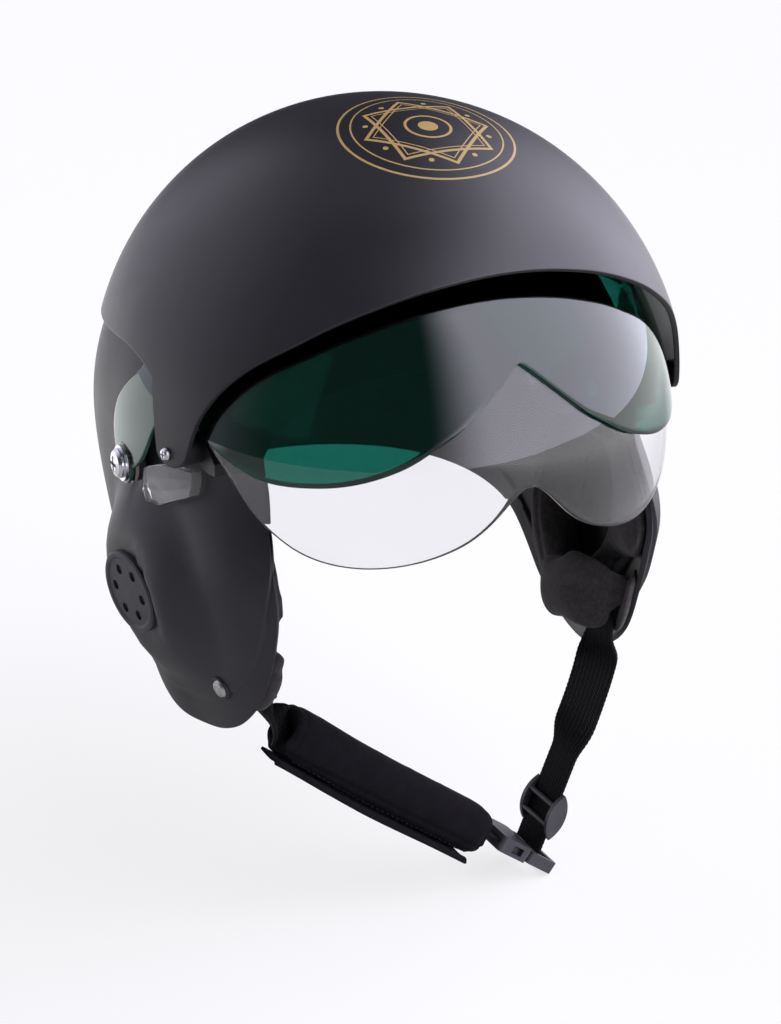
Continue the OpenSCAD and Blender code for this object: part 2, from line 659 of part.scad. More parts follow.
// The sleeve's line: its start, its slope_angle and its direction.
sleeve_in = 8.3;
sleeve_drop = 20.5;
sleeve_start = [sleeve_in - anchor_face, swing_z - sleeve_drop];
slope_angle = 37.3;
run_dir = [cos(slope_angle), -sin(slope_angle)];
function on_run(s, h) = sleeve_start + run_dir * s + turn(run_dir) * h;
eye_mid = (eye_in + eye_out) / 2;
// The socket starts a little past the sleeve's end.
socket_gap = 3;
socket_at = sleeve_len + socket_gap;
socket_len = 19;
plug_len = 17;
plug_h = 6;
bar_at = socket_at + socket_len + seat_gap + plug_len / 2;

module on_sleeve() {
  translate([sleeve_start[0], swing_y, sleeve_start[1]]) rotate([0, slope_angle, 0]) children();
}

module right_strap() {
  color([0.07, 0.07, 0.08]) union() {
    mirror([1, 0, 0]) strap_eye();
    webbing([[-eye_mid, swing_z - eye_r * 0.9], [-eye_mid, swing_z - eye_r * 1.17],
      [-eye_mid + webbing_t * 0.6, swing_z - eye_r * 1.58], on_run(0, webbing_t / 8),
      on_run(sleeve_len * 0.045, 0), on_run(socket_at + socket_throat * 0.85, 0)]);
  }
}

// The left webbing: straight down from its eye to a bend, then in to the buckle.
strap_end_gap = 0.3;
strap_end_h = (plug_h / 2 + strap_end_gap) / cos(slope_angle);
strap_low = on_run(bar_at, 0) + [0, strap_end_h];
strap_top = [eye_mid, swing_z - eye_r * 1.44];
strap_corner = [eye_mid, swing_z - eye_r * 2.9];
strap_bend_share = 0.63;
strap_bend = mix(strap_low, strap_corner, strap_bend_share);
lean_angle = atan2(strap_corner[0] - strap_low[0], strap_corner[1] - strap_low[1]);
function strap_curve(t) = mix(mix(strap_top, strap_corner, t), mix(strap_corner, strap_bend, t), t);

module left_strap() {
  color([0.07, 0.07, 0.08]) union() {
    strap_eye();
    webbing(concat([[eye_mid, swing_z - eye_r * 0.9]], [for (t = [0 : 0.25 : 1]) strap_curve(t)],
      [mix(strap_low, strap_bend, 0.18), strap_low]));
  }
}

// Padded sleeve.
sleeve_shares = [[0, 0.55], [0.012, 0.8], [0.035, 0.93], [0.08, 0.99], [0.2, 1], [0.35, 0.985], [0.5, 0.975],
  [0.65, 0.985], [0.8, 1], [0.92, 0.99], [0.965, 0.93], [0.988, 0.8], [1, 0.55]];
sleeve_loop = 20;
function squarish(c) = sign(c) * pow(abs(c), 0.72);

module chin_pad() {
  color([0.08, 0.08, 0.09]) on_sleeve() difference() {
    polyhedron(concat([for (s = sleeve_shares, k = [0 : sleeve_loop - 1]) let(a = 360 * k / sleeve_loop)
      [sleeve_len * s[0], sleeve_w / 2 * s[1] * squarish(cos(a)), sleeve_h / 2 * s[1] * squarish(sin(a))]],
      [[0, 0, 0], [sleeve_len, 0, 0]]), loft_faces(len(sleeve_shares), sleeve_loop));
    translate([-sleeve_len / 2, -webbing_w / 2 - seat_gap, -webbing_t / 2 - seat_gap])
      cube([sleeve_len * 2, webbing_w + 2 * seat_gap, webbing_t + 2 * seat_gap]);
  }
}

flap_w = 17;
flap_t = 1.8;
flap_back = 2;

module chin_pad_flap() {
  color([0.06, 0.06, 0.06]) on_sleeve()
    translate([sleeve_len * 0.04, flap_back - flap_w, -sleeve_h / 2 - flap_t - seat_gap])
      cube([sleeve_len * 0.9, flap_w, flap_t]);
}

// Buckle.
buckle_w = webbing_w + 2 * buckle_side;
socket_h = 7.6;
socket_corner = 2.4;
// Depth of the slot that takes the webbing, and of the wall behind it.
socket_throat = 3;
socket_web = 2.6;
// Side walls and side windows of the socket.
socket_side = 2.2;
window_at = 7.5;
window_len = 6.5;
prong_w = 3.2;
prong_h = 3.4;

module rounded_plate(x, y, z, r) {
  linear_extrude(z) union() {
    translate([r, -y / 2]) square([x - 2 * r, y]);
    translate([0, -y / 2 + r]) square([x, y - 2 * r]);
    for (i = [r, x - r], j = [r - y / 2, y / 2 - r]) translate([i, j]) circle(r);
  }
}

module buckle_socket() {
  color([0.16, 0.16, 0.17]) on_sleeve() translate([socket_at, 0, 0]) difference() {
    translate([0, 0, -socket_h / 2]) rounded_plate(socket_len, buckle_w, socket_h, socket_corner);
    translate([-overrun, -webbing_w / 2 - seat_gap, -webbing_t / 2 - seat_gap])
      cube([overrun + socket_throat, webbing_w + 2 * seat_gap, webbing_t + 2 * seat_gap]);
    translate([socket_throat + socket_web, -buckle_w / 2 + socket_side, -prong_h / 2 - seat_gap])
      cube([socket_len, buckle_w - 2 * socket_side, prong_h + 2 * seat_gap]);
    translate([window_at, -buckle_w, -prong_h / 2 - seat_gap])
      cube([window_len, buckle_w * 2, prong_h + 2 * seat_gap]);
  }
}

plug_corner = 1.8;
plug_end_t = 3;
plug_window_gap = 0.8;
plug_bar_d = 3.2;
prong_gap = 0.4;
prong_y = buckle_w / 2 - socket_side - prong_gap - prong_w / 2;

module buckle_plug() {
  color([0.16, 0.16, 0.17]) on_sleeve() translate([socket_at + socket_len + seat_gap, 0, 0]) {
    difference() {
      translate([0, 0, -plug_h / 2]) rounded_plate(plug_len, buckle_w, plug_h, plug_corner);
      translate([plug_end_t, -webbing_w / 2 - plug_window_gap, -plug_h])
        cube([plug_len - 2 * plug_end_t, webbing_w + 2 * plug_window_gap, plug_h * 2]);
    }
    translate([plug_len / 2, buckle_w * 0.45, 0]) rotate([90, 0, 0])
      cylinder(h = buckle_w * 0.9, d = plug_bar_d);
    for (i = [-1, 1])
      translate([-prong_len, i * prong_y - prong_w / 2, -prong_h / 2])
        cube([prong_len + plug_end_t / 2, prong_w, prong_h]);
    translate([-prong_len * 0.7, -prong_w / 2, -prong_h / 2])
      cube([prong_len * 0.7 + plug_end_t / 2, prong_w, prong_h]);
  }
}

// Ladder lock on the left webbing.
slider_share = 0.67;
slider_gap = 0.3;
slider_mid = mix(strap_bend, strap_low, slider_share);
slider_bar_r = 1.2;
slider_bar_step = 5;
slider_bar_x = webbing_t / 2 + slider_gap + slider_bar_r;
cheek_t = 2.2;
cheek_h = 20;
cheek_out = 0.5;
cheek_y = webbing_w / 2 + slider_gap + cheek_t / 2;

module strap_slider() {
  color([0.16, 0.16, 0.17]) translate([slider_mid[0], swing_y, slider_mid[1]]) rotate([0, lean_angle, 0]) {
    for (i = [-1, 1]) translate([cheek_out, i * cheek_y + cheek_t / 2, 0]) rotate([90, 0, 0])
      linear_extrude(cheek_t) intersection() {
        translate([-cheek_h * 0.55, 0]) circle(cheek_h * 0.8);
        translate([cheek_h * 0.55, 0]) circle(cheek_h * 0.8);
      }
    for (i = [-1, 0, 1]) translate([(i == 0 ? 1 : -1) * slider_bar_x, cheek_y, slider_bar_step * i])
      rotate([90, 0, 0]) cylinder(h = cheek_y * 2, r = slider_bar_r);
  }
}

helmet_shell();
foam_liner();
visor_cover();
right_ear_pad();
left_ear_pad();
right_ear_cap();
left_ear_cap();
right_standoff();
left_standoff();
right_clear_block();
left_clear_block();
tab_screws();
clear_visor();
sun_visor();
pivot_screws();
pivot_washers();
pivot_collars();
pivot_spacers();
pivot_nuts();
strap_rivets();
right_strap_anchor();
left_strap_anchor();
strap_pins();
right_strap();
chin_pad();
chin_pad_flap();
buckle_socket();
left_strap();
buckle_plug();
strap_slider();
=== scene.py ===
import json
import math
import bpy
import numpy as np
from mathutils import Matrix, Vector

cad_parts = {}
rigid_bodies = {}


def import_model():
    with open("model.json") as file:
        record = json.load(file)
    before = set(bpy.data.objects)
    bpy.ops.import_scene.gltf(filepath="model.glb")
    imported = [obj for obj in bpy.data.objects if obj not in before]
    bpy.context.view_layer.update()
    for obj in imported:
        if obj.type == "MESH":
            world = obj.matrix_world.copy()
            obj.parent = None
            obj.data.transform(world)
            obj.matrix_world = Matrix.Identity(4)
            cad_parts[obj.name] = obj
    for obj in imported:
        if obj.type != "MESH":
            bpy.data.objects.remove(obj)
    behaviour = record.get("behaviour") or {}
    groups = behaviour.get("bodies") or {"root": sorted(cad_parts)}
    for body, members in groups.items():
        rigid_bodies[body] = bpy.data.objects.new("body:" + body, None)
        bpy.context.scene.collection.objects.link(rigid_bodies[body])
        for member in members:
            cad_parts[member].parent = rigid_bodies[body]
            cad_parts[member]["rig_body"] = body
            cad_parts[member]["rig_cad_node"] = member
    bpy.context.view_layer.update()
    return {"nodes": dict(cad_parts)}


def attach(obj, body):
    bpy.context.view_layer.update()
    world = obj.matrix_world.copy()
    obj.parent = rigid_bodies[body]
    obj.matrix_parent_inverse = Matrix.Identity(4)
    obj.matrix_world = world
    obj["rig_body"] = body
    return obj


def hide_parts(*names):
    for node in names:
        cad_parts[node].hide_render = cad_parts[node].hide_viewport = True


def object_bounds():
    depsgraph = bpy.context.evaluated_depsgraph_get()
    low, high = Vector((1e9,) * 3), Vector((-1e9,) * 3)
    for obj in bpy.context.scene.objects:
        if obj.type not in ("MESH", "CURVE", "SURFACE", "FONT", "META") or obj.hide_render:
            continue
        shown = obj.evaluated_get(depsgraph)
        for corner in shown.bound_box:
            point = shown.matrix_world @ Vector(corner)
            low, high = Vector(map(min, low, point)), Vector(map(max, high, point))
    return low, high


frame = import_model()
cadNodes = frame["nodes"]
mm = 0.001
sharpTurn = 0.9  # edges that turn by more than this angle, in radians, are rounded
mergeGap = 1e-5  # points closer than this, in metres, become one
print("helmet: frame loaded")

# The camera stands where the photograph was taken from.
camera = {"place": (-0.36869, -0.73798, 0.27689), "back": (-0.41717, -0.83307, 0.36325), "lens": 67.39}
bpy.ops.object.camera_add(location=camera["place"])
viewer = bpy.context.object
viewer.rotation_mode = "QUATERNION"
viewer.rotation_quaternion = (-Vector(camera["back"])).to_track_quat("-Z", "Y")
viewer.data.lens = camera["lens"]
viewer.data.sensor_width = 36
viewer.data.clip_start = 0.01
viewer.data.clip_end = 40
bpy.context.scene.camera = viewer


def clearSelection():
    if bpy.context.object and bpy.context.object.mode != "OBJECT":
        bpy.ops.object.mode_set(mode="OBJECT")
    bpy.ops.object.select_all(action="DESELECT")


def pick(piece):
    clearSelection()
    piece.hide_viewport = False
    bpy.context.view_layer.objects.active = piece
    piece.select_set(True)


def finishWith(piece, kind, **settings):
    pick(piece)
    modifier = piece.modifiers.new(kind.title(), kind)
    for key, value in settings.items():
        setattr(modifier, key, value)
    bpy.ops.object.modifier_apply(modifier=modifier.name)


def smoothPiece(piece, degrees=35):
    pick(piece)
    bpy.ops.object.shade_smooth_by_angle(angle=math.radians(degrees))


def editAll(piece):
    pick(piece)
    bpy.ops.object.mode_set(mode="EDIT")
    bpy.ops.mesh.select_all(action="SELECT")


def mergeDoubles(piece, distance=1e-6, recalculate=False):
    editAll(piece)
    bpy.ops.mesh.remove_doubles(threshold=distance)
    if recalculate:
        bpy.ops.mesh.normals_make_consistent(inside=False)
    bpy.ops.object.mode_set(mode="OBJECT")


def formedGrid(name, points):
    # A grid whose vertices are laid on a surface: points is rows x columns x 3, in millimetres.
    rows, columns = points.shape[:2]
    clearSelection()
    bpy.ops.mesh.primitive_grid_add(x_subdivisions=columns - 1, y_subdivisions=rows - 1, size=1, calc_uvs=True)
    piece = bpy.context.object
    piece.name = name
    piece.data.name = name
    piece.data.vertices.foreach_set("co", (points * mm).astype(np.float32).reshape(-1))
    piece.data.update()
    return piece


def copyNode(nodeName, name):
    piece = cadNodes[nodeName].copy()
    piece.data = cadNodes[nodeName].data.copy()
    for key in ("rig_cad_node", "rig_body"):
        del piece[key]
    piece.parent = None
    piece.name = name
    piece.data.name = name
    bpy.context.scene.collection.objects.link(piece)
    mergeDoubles(piece)
    return piece


def mirrored(piece, name):
    twin = piece.copy()
    twin.data = piece.data.copy()
    twin.name = name
    twin.data.name = name
    bpy.context.scene.collection.objects.link(twin)
    twin.data.transform(Matrix.Scale(-1, 4, (1, 0, 0)))
    editAll(twin)
    bpy.ops.mesh.flip_normals()
    bpy.ops.object.mode_set(mode="OBJECT")
    return twin


def settle(piece, body, nodeNames, material, more=()):
    piece.data.materials.clear()
    for finish in [material, *more]:
        piece.data.materials.append(finish)
    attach(piece, body)
    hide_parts(*nodeNames)
    return piece


# Materials. Every pattern reads Object coordinates, in metres, or the piece's own UV map.
def startMaterial(name):
    material = bpy.data.materials.new(name)
    material.use_nodes = True
    shader = material.node_tree.nodes["Principled BSDF"]
    return material, shader


def link(material, kind, sockets=None, **settings):
    node = material.node_tree.nodes.new("ShaderNode" + kind)
    for key, value in settings.items():
        setattr(node, key, value)
    for key, value in (sockets or {}).items():
        if isinstance(value, bpy.types.NodeSocket):
            material.node_tree.links.new(value, node.inputs[key])
        else:
            node.inputs[key].default_value = value
    return node


def setShader(material, shader, **values):
    for key, value in values.items():
        socket = shader.inputs[key.replace("_", " ")]
        if isinstance(value, bpy.types.NodeSocket):
            material.node_tree.links.new(value, socket)
        else:
            socket.default_value = value


def colour(r, g, b):
    return (r, g, b, 1)


def grainyParts(name, look):
    # Moulded or painted surfaces: two tones in broad clouds, a fine grain and a roughness that wanders.
    material, shader = startMaterial(name)
    place = link(material, "TexCoord").outputs["Object"]
    clouds = link(material, "TexNoise", {"Vector": place, "Scale": look["cloudScale"], "Detail": 4,
                                         "Roughness": 0.6})
    specks = link(material, "TexNoise", {"Vector": place, "Scale": look["grainScale"], "Detail": 2,
                                         "Roughness": 0.7})
    tone = link(material, "ValToRGB", {"Fac": clouds.outputs["Fac"]})
    tone.color_ramp.elements[0].position = 0.35
    tone.color_ramp.elements[0].color = colour(*look["dark"])
    tone.color_ramp.elements[1].position = 0.68
    tone.color_ramp.elements[1].color = colour(*look["light"])
    spread = link(material, "MapRange", {"Value": clouds.outputs["Fac"], "From Min": 0.3, "From Max": 0.7,
                                         "To Min": look["rough"][0], "To Max": look["rough"][1]})
    bump = link(material, "Bump", {"Height": specks.outputs["Fac"], "Strength": look["grainDepth"],
                                   "Distance": look.get("grainStep", 0.0002)})
    setShader(material, shader, Base_Color=tone.outputs["Color"], Roughness=spread.outputs["Result"],
              Normal=bump.outputs["Normal"], Specular_IOR_Level=look.get("gloss", 0.5),
              Metallic=look.get("metal", 0.0), Sheen_Weight=look.get("sheen", 0.0),
              Sheen_Roughness=look.get("sheenRough", 0.4), Sheen_Tint=colour(*look.get("sheenTint", (1, 1, 1))))
    return material, shader, place, tone


def grainyFinish(name, look):
    return grainyParts(name, look)[0]


shellLook = {"dark": (0.0095, 0.0095, 0.0118), "light": (0.0135, 0.013, 0.016), "cloudScale": 22,
             "grainScale": 1500, "grainDepth": 0.12, "rough": (0.44, 0.52), "gloss": 0.5}
coverLook = {"dark": (0.0078, 0.0078, 0.0098), "light": (0.0112, 0.0108, 0.0135), "cloudScale": 17,
             "grainScale": 1500, "grainDepth": 0.10, "rough": (0.40, 0.47), "gloss": 0.5}
capLook = {"dark": (0.030, 0.030, 0.033), "light": (0.040, 0.040, 0.044), "cloudScale": 80,
           "grainScale": 2200, "grainDepth": 0.25, "rough": (0.5, 0.6), "gloss": 0.45}
fittingLook = {"dark": (0.010, 0.010, 0.011), "light": (0.018, 0.018, 0.02), "cloudScale": 90,
               "grainScale": 1800, "grainDepth": 0.2, "rough": (0.42, 0.58), "gloss": 0.45}
buckleLook = {"dark": (0.035, 0.035, 0.039), "light": (0.05, 0.05, 0.055), "cloudScale": 120,
              "grainScale": 1600, "grainDepth": 0.2, "rough": (0.34, 0.46), "gloss": 0.5}
rivetLook = {"dark": (0.50, 0.48, 0.46), "light": (0.62, 0.60, 0.58), "cloudScale": 300,
             "grainScale": 2600, "grainDepth": 0.2, "rough": (0.34, 0.5), "metal": 1.0}
zincLook = {"dark": (0.62, 0.63, 0.65), "light": (0.80, 0.80, 0.80), "cloudScale": 260,
            "grainScale": 2600, "grainDepth": 0.04, "rough": (0.20, 0.30), "metal": 1.0}
foamLook = {"dark": (0.018, 0.016, 0.016), "light": (0.036, 0.032, 0.031), "cloudScale": 420,
            "grainScale": 700, "grainDepth": 0.5, "grainStep": 0.0005, "rough": (0.9, 1.0), "gloss": 0.15,
            "sheen": 0.12, "sheenRough": 0.6, "sheenTint": (0.9, 0.86, 0.84)}
sleeveLook = {"dark": (0.0030, 0.0028, 0.0036), "light": (0.006, 0.0056, 0.007), "cloudScale": 160,
              "grainScale": 1500, "grainDepth": 0.6, "grainStep": 0.0003, "rough": (0.85, 0.98), "gloss": 0.08,
              "sheen": 0.015, "sheenRough": 0.5, "sheenTint": (0.8, 0.78, 0.88)}
webLook = {"dark": (0.0028, 0.0027, 0.0034), "light": (0.0055, 0.0052, 0.0064), "cloudScale": 500,
           "grainScale": 1800, "grainDepth": 0.6, "grainStep": 0.0003, "rough": (0.6, 0.8), "gloss": 0.14,
           "sheen": 0.015, "sheenRough": 0.4, "sheenTint": (0.8, 0.78, 0.88)}
threadLook = {"dark": (0.003, 0.003, 0.0035), "light": (0.006, 0.006, 0.007), "cloudScale": 400,
              "grainScale": 2500, "grainDepth": 0.5, "rough": (0.8, 0.95), "gloss": 0.12}

shellPaint = grainyFinish("shellPaint", shellLook)
coverPaint = grainyFinish("coverPaint", coverLook)
capPlastic = grainyFinish("capPlastic", capLook)
fittingBlack = grainyFinish("fittingBlack", fittingLook)
bucklePlastic = grainyFinish("bucklePlastic", buckleLook)
brightZinc = grainyFinish("brightZinc", zincLook)
rivetNickel = grainyFinish("rivetNickel", rivetLook)
padFoam = grainyFinish("padFoam", foamLook)
sleeveCloth = grainyFinish("sleeveCloth", sleeveLook)


def weaveFinish(name, look):
    # Webbing: ribs along it and a slanting twill, on a UV map in millimetres.
    material, shader, place, tone = grainyParts(name, look)
    flat = link(material, "TexCoord").outputs["UV"]
    ribs = link(material, "TexWave", {"Vector": flat, "Scale": 0.16, "Distortion": 0.15}, bands_direction="Y")
    twill = link(material, "TexWave", {"Vector": flat, "Scale": 0.42, "Distortion": 0.3},
                 bands_direction="DIAGONAL")
    both = link(material, "Math", {0: ribs.outputs["Fac"], 1: twill.outputs["Fac"]}, operation="MULTIPLY")
    # The base colour is painted darker in the weave's grooves and lighter on its ribs, following the bump:
    # painted shade and painted light.
    ribLightAndShade = link(material, "MapRange", {"Value": both.outputs[0], "To Min": 0.55, "To Max": 1.5})
    weavePaintedShade = link(material, "VectorMath", {0: tone.outputs["Color"], "Scale": ribLightAndShade.outputs["Result"]},
                  operation="SCALE")
    bump = link(material, "Bump", {"Height": both.outputs[0], "Strength": 0.8, "Distance": 0.0005})
    setShader(material, shader, Base_Color=weavePaintedShade.outputs["Vector"], Normal=bump.outputs["Normal"])
    return material


strapWeave = weaveFinish("strapWeave", webLook)
threadFinish = grainyFinish("threadFinish", threadLook)


lensIndex = 1.586  # polycarbonate


def lensFinish(name, tint, haze):
    # Clear or tinted sheet with faint smears, whose roughness wanders between the two values of haze.
    material, shader = startMaterial(name)
    place = link(material, "TexCoord").outputs["Object"]
    smears = link(material, "TexNoise", {"Vector": place, "Scale": 14, "Detail": 5, "Roughness": 0.55})
    rough = link(material, "MapRange", {"Value": smears.outputs["Fac"], "From Min": 0.35, "From Max": 0.75,
                                        "To Min": haze[0], "To Max": haze[1]})
    tone = link(material, "ValToRGB", {"Fac": smears.outputs["Fac"]})
    tone.color_ramp.elements[0].color = colour(*tint)
    tone.color_ramp.elements[1].color = colour(*[min(1, c * 1.06) for c in tint])
    setShader(material, shader, Base_Color=tone.outputs["Color"], Roughness=rough.outputs["Result"],
              Transmission_Weight=1.0, IOR=lensIndex)
    return material


def edgeFinish(name, tint):
    # The sanded cut edge of a sheet.
    material, shader = startMaterial(name)
    place = link(material, "TexCoord").outputs["Object"]
    scuffs = link(material, "TexNoise", {"Vector": place, "Scale": 900, "Detail": 3})
    tone = link(material, "ValToRGB", {"Fac": scuffs.outputs["Fac"]})
    tone.color_ramp.elements[0].color = colour(*[c * 0.8 for c in tint])
    tone.color_ramp.elements[1].color = colour(*tint)
    setShader(material, shader, Base_Color=tone.outputs["Color"], Roughness=0.35, Transmission_Weight=0.35)
    return material


clearLens = lensFinish("clearLens", (0.865, 0.865, 0.88), (0.0, 0.012))
clearEdge = edgeFinish("clearLensEdge", (0.30, 0.25, 0.21))
sunLens = lensFinish("sunLens", (0.008, 0.135, 0.095), (0.0, 0.01))
sunEdge = edgeFinish("sunLensEdge", (0.010, 0.09, 0.06))
blockLens = lensFinish("blockLens", (0.86, 0.87, 0.90), (0.12, 0.25))

# A plain ornament for the crown: two crossed squares in gold lines on a dark disc. Its place is in millimetres.
emblem = {"place": (-2.5, -41.0, 139.4), "up": (-0.020, -0.289, 0.957), "radius": 37.2, "margin": 6,
          "rings": [(36.9, 0.75), (31.6, 0.35), (9.5, 0.6), (0.0, 4.2)],  # radius and half width of each line
          "squares": [(19.6, 0.7), (17.4, 0.25)], "dots": 8, "dotsAt": 25.6, "dotRadius": 1.15,
          "ground": (0.006, 0.006, 0.008), "gold": (0.36, 0.245, 0.09)}
coverEmblem, emblemShader, emblemPlace, emblemTone = grainyParts("coverEmblem", coverLook)
emblemUp = Vector(emblem["up"]).normalized()
emblemRight = (Vector((1, 0, 0)) - emblemUp * emblemUp.x).normalized()
emblemTurn = Matrix([emblemRight, emblemUp.cross(emblemRight), emblemUp]).transposed().to_euler()
onDisc = link(coverEmblem, "Mapping", {"Vector": emblemPlace, "Location": [c * mm for c in emblem["place"]],
                                       "Rotation": emblemTurn, "Scale": (mm, mm, mm)}, vector_type="TEXTURE")
apart = link(coverEmblem, "SeparateXYZ", {0: onDisc.outputs["Vector"]})


def reckon(operation, a, b=0.0, c=0.0):
    sockets = {k: v.outputs[0] if isinstance(v, bpy.types.Node) else v for k, v in enumerate((a, b, c))}
    return link(coverEmblem, "Math", sockets, operation=operation)


def reckonLength(a, b):
    return reckon("SQRT", reckon("ADD", reckon("MULTIPLY", a, a), reckon("MULTIPLY", b, b)))


acrossX, acrossY = apart.outputs["X"], apart.outputs["Y"]
fromMiddle = reckonLength(acrossX, acrossY)
slantX = reckon("MULTIPLY", reckon("ADD", acrossX, acrossY), math.sqrt(0.5))
slantY = reckon("MULTIPLY", reckon("SUBTRACT", acrossX, acrossY), math.sqrt(0.5))
firstSquare = reckon("MAXIMUM", reckon("ABSOLUTE", acrossX), reckon("ABSOLUTE", acrossY))
secondSquare = reckon("MAXIMUM", reckon("ABSOLUTE", slantX), reckon("ABSOLUTE", slantY))
# The dots repeat round the disc, so a bearing is folded into half of one dot's share.
halfShare = math.pi / emblem["dots"]
bearing = reckon("ADD", reckon("ARCTAN2", acrossY, acrossX), halfShare + math.tau)
bearing = reckon("PINGPONG", bearing, halfShare)
dotAcross = reckon("MULTIPLY", fromMiddle, reckon("SINE", bearing))
dotOut = reckon("SUBTRACT", reckon("MULTIPLY", fromMiddle, reckon("COSINE", bearing)), emblem["dotsAt"])
goldLines = reckon("COMPARE", reckonLength(dotAcross, dotOut), 0.0, emblem["dotRadius"])
drawn = [(fromMiddle, line) for line in emblem["rings"]]
drawn += [(square, line) for line in emblem["squares"] for square in (firstSquare, secondSquare)]
for field, line in drawn:
    goldLines = reckon("MAXIMUM", goldLines, reckon("COMPARE", field, *line))
withinDisc = reckon("LESS_THAN", fromMiddle, emblem["radius"])
printed = link(coverEmblem, "MixRGB", {"Fac": withinDisc.outputs[0], "Color1": emblemTone.outputs["Color"],
                                       "Color2": colour(*emblem["ground"])})
printed = link(coverEmblem, "MixRGB", {"Fac": reckon("MULTIPLY", goldLines, withinDisc).outputs[0],
                                       "Color1": printed.outputs["Color"], "Color2": colour(*emblem["gold"])})
setShader(coverEmblem, emblemShader, Base_Color=printed.outputs["Color"])
print("helmet: materials made")


# The surfaces, in millimetres, as the CAD has them.
def ease(t):
    t = np.clip(t, 0, 1)
    return t * t * (3 - 2 * t)


def fade(value, start, span):
    # 0 up to the start, 1 once past the span, eased in between.
    return ease((value - start) / span)


def aim(azimuth, down):
    a, t = np.radians(azimuth), np.radians(down)
    return np.stack([np.sin(t) * np.sin(a), -np.sin(t) * np.cos(a), np.cos(t)], -1)


# Pairs such as rearUp are a fade: where a form starts to come in, and over how much, as shares of the direction
# or, for the flange, in degrees.
shell = {"halfWidth": 121, "front": 133, "back": 125, "up": 113, "down": 230, "wall": 2.8, "centre": (0, 25, 5),
         "cupSwell": 14, "cupMiddle": (76.3, 115.4), "cupOuter": 0.36, "cupInner": 0.15,
         "rearSwell": 3, "rearBack": (0, 1 / 2.4), "rearUp": (-1 / 1.8, 1 / 1.8),
         "flapFlare": 17, "flareFront": (0.2, 0.45), "flareDown": (0, 0.35),
         "flapSpread": 8, "spreadFront": (-0.25, 0.4), "spreadDown": (0.5, 0.3),
         "bossFace": 119.2, "bossRadius": 10.5, "bossLift": 60, "bossFade": 14, "edge": 0.7,
         "flangeWidth": 10.5, "flangeStep": 1.7, "flangeSoft": 2.2,
         "flangeDown": (86, 9), "flangeFront": (-118, 12),
         "radius": 118, "rows": 56, "far": 19, "near": [17, 14.5, 12.8, 11.6, 10.6, 9.6, 8, 6, 4.2, 2.6, 1.4],
         "capOut": (0.972, -0.2, -0.12), "capSeat": 0.3, "capRadius": 19.2, "capLift": 8, "capFade": 4,
         "capEnd": 26, "capDepth": 6,
         "rim": [[0, 68], [11, 68.2], [22, 69.5], [32, 72.5], [40, 78], [45.4, 86], [47.5, 94.1], [44.7, 99.1],
                 [42.3, 103.4], [40.8, 109], [41.4, 115.6], [43.4, 122.6], [45.8, 127.1], [49.2, 131],
                 [54.1, 134.9], [61.5, 138.6], [70, 140.6], [80, 141], [89, 139.8], [97, 137], [104, 132.6],
                 [112, 127.6], [124, 123.4], [140, 120.5], [160, 119], [180, 118.5]]}
cover = {"halfWidth": 130, "front": 139, "back": 156, "up": 136, "wall": 2.5, "centre": (0, 0, 9.5),
         "edge": 0.6, "radius": 136, "rows": 46, "far": 9, "near": [7, 4.4, 2.6, 1.3],
         "rim": [[0, 52.5], [7, 52.8], [14, 53.7], [21.5, 55.2], [29.5, 57.6], [37.3, 60.6], [44.5, 64.2],
                 [51.5, 68], [56.5, 71.8], [60, 75.6], [62.6, 79.6], [64.2, 84], [65.3, 87], [67.6, 88.6],
                 [70.6, 88.6], [72.7, 87], [73, 84.4], [73.4, 79.8], [74.8, 76], [77.5, 73.6], [82, 71.8],
                 [90, 70.6], [104, 71.2], [120, 72.4], [140, 73.6], [160, 74.2], [180, 74.4]]}


def ellipsoidReach(d, halfWidth, ahead, high):
    return 1 / np.sqrt((d[..., 0] / halfWidth) ** 2 + (d[..., 1] / ahead) ** 2 + (d[..., 2] / high) ** 2)


def shellReach(d):
    back, up = d[..., 1], d[..., 2]
    plain = ellipsoidReach(d, shell["halfWidth"], np.where(back < 0, shell["front"], shell["back"]),
                           np.where(up > 0, shell["up"], shell["down"]))
    middle = aim(*shell["cupMiddle"])
    off = np.sqrt((np.abs(d[..., 0]) - middle[0]) ** 2 + (back - middle[1]) ** 2 + (up - middle[2]) ** 2)
    cup = shell["cupSwell"] * ease((shell["cupOuter"] - off) / (shell["cupOuter"] - shell["cupInner"]))
    rear = shell["rearSwell"] * fade(back, *shell["rearBack"]) * fade(up, *shell["rearUp"])
    flare = shell["flapFlare"] * fade(-back, *shell["flareFront"]) * fade(-up, *shell["flareDown"])
    spread = shell["flapSpread"] * fade(-back, *shell["spreadFront"]) * fade(-up, *shell["spreadDown"])
    return plain + cup + rear + flare + spread


def coverReach(d):
    ahead = np.where(d[..., 1] < 0, cover["front"], cover["back"])
    return ellipsoidReach(d, cover["halfWidth"], ahead, cover["up"])


def refined(points, rounds, closed=True):
    # Four-point rounding of a closed loop, or of an open list with its ends held.
    points = np.array(points, float)
    for _ in range(rounds):
        if closed:
            a, b, c, d = np.roll(points, 1, 0), points, np.roll(points, -1, 0), np.roll(points, -2, 0)
            middle = (9 * (b + c) - a - d) / 16
            points = np.stack([points, middle], 1).reshape(-1, points.shape[1])
        else:
            padded = np.vstack([2 * points[0] - points[1], points, 2 * points[-1] - points[-2]])
            middle = (9 * (padded[1:-2] + padded[2:-1]) - padded[:-3] - padded[3:]) / 16
            made = np.empty((2 * len(points) - 1, points.shape[1]))
            made[0::2], made[1::2] = points, middle
            points = made
    return points


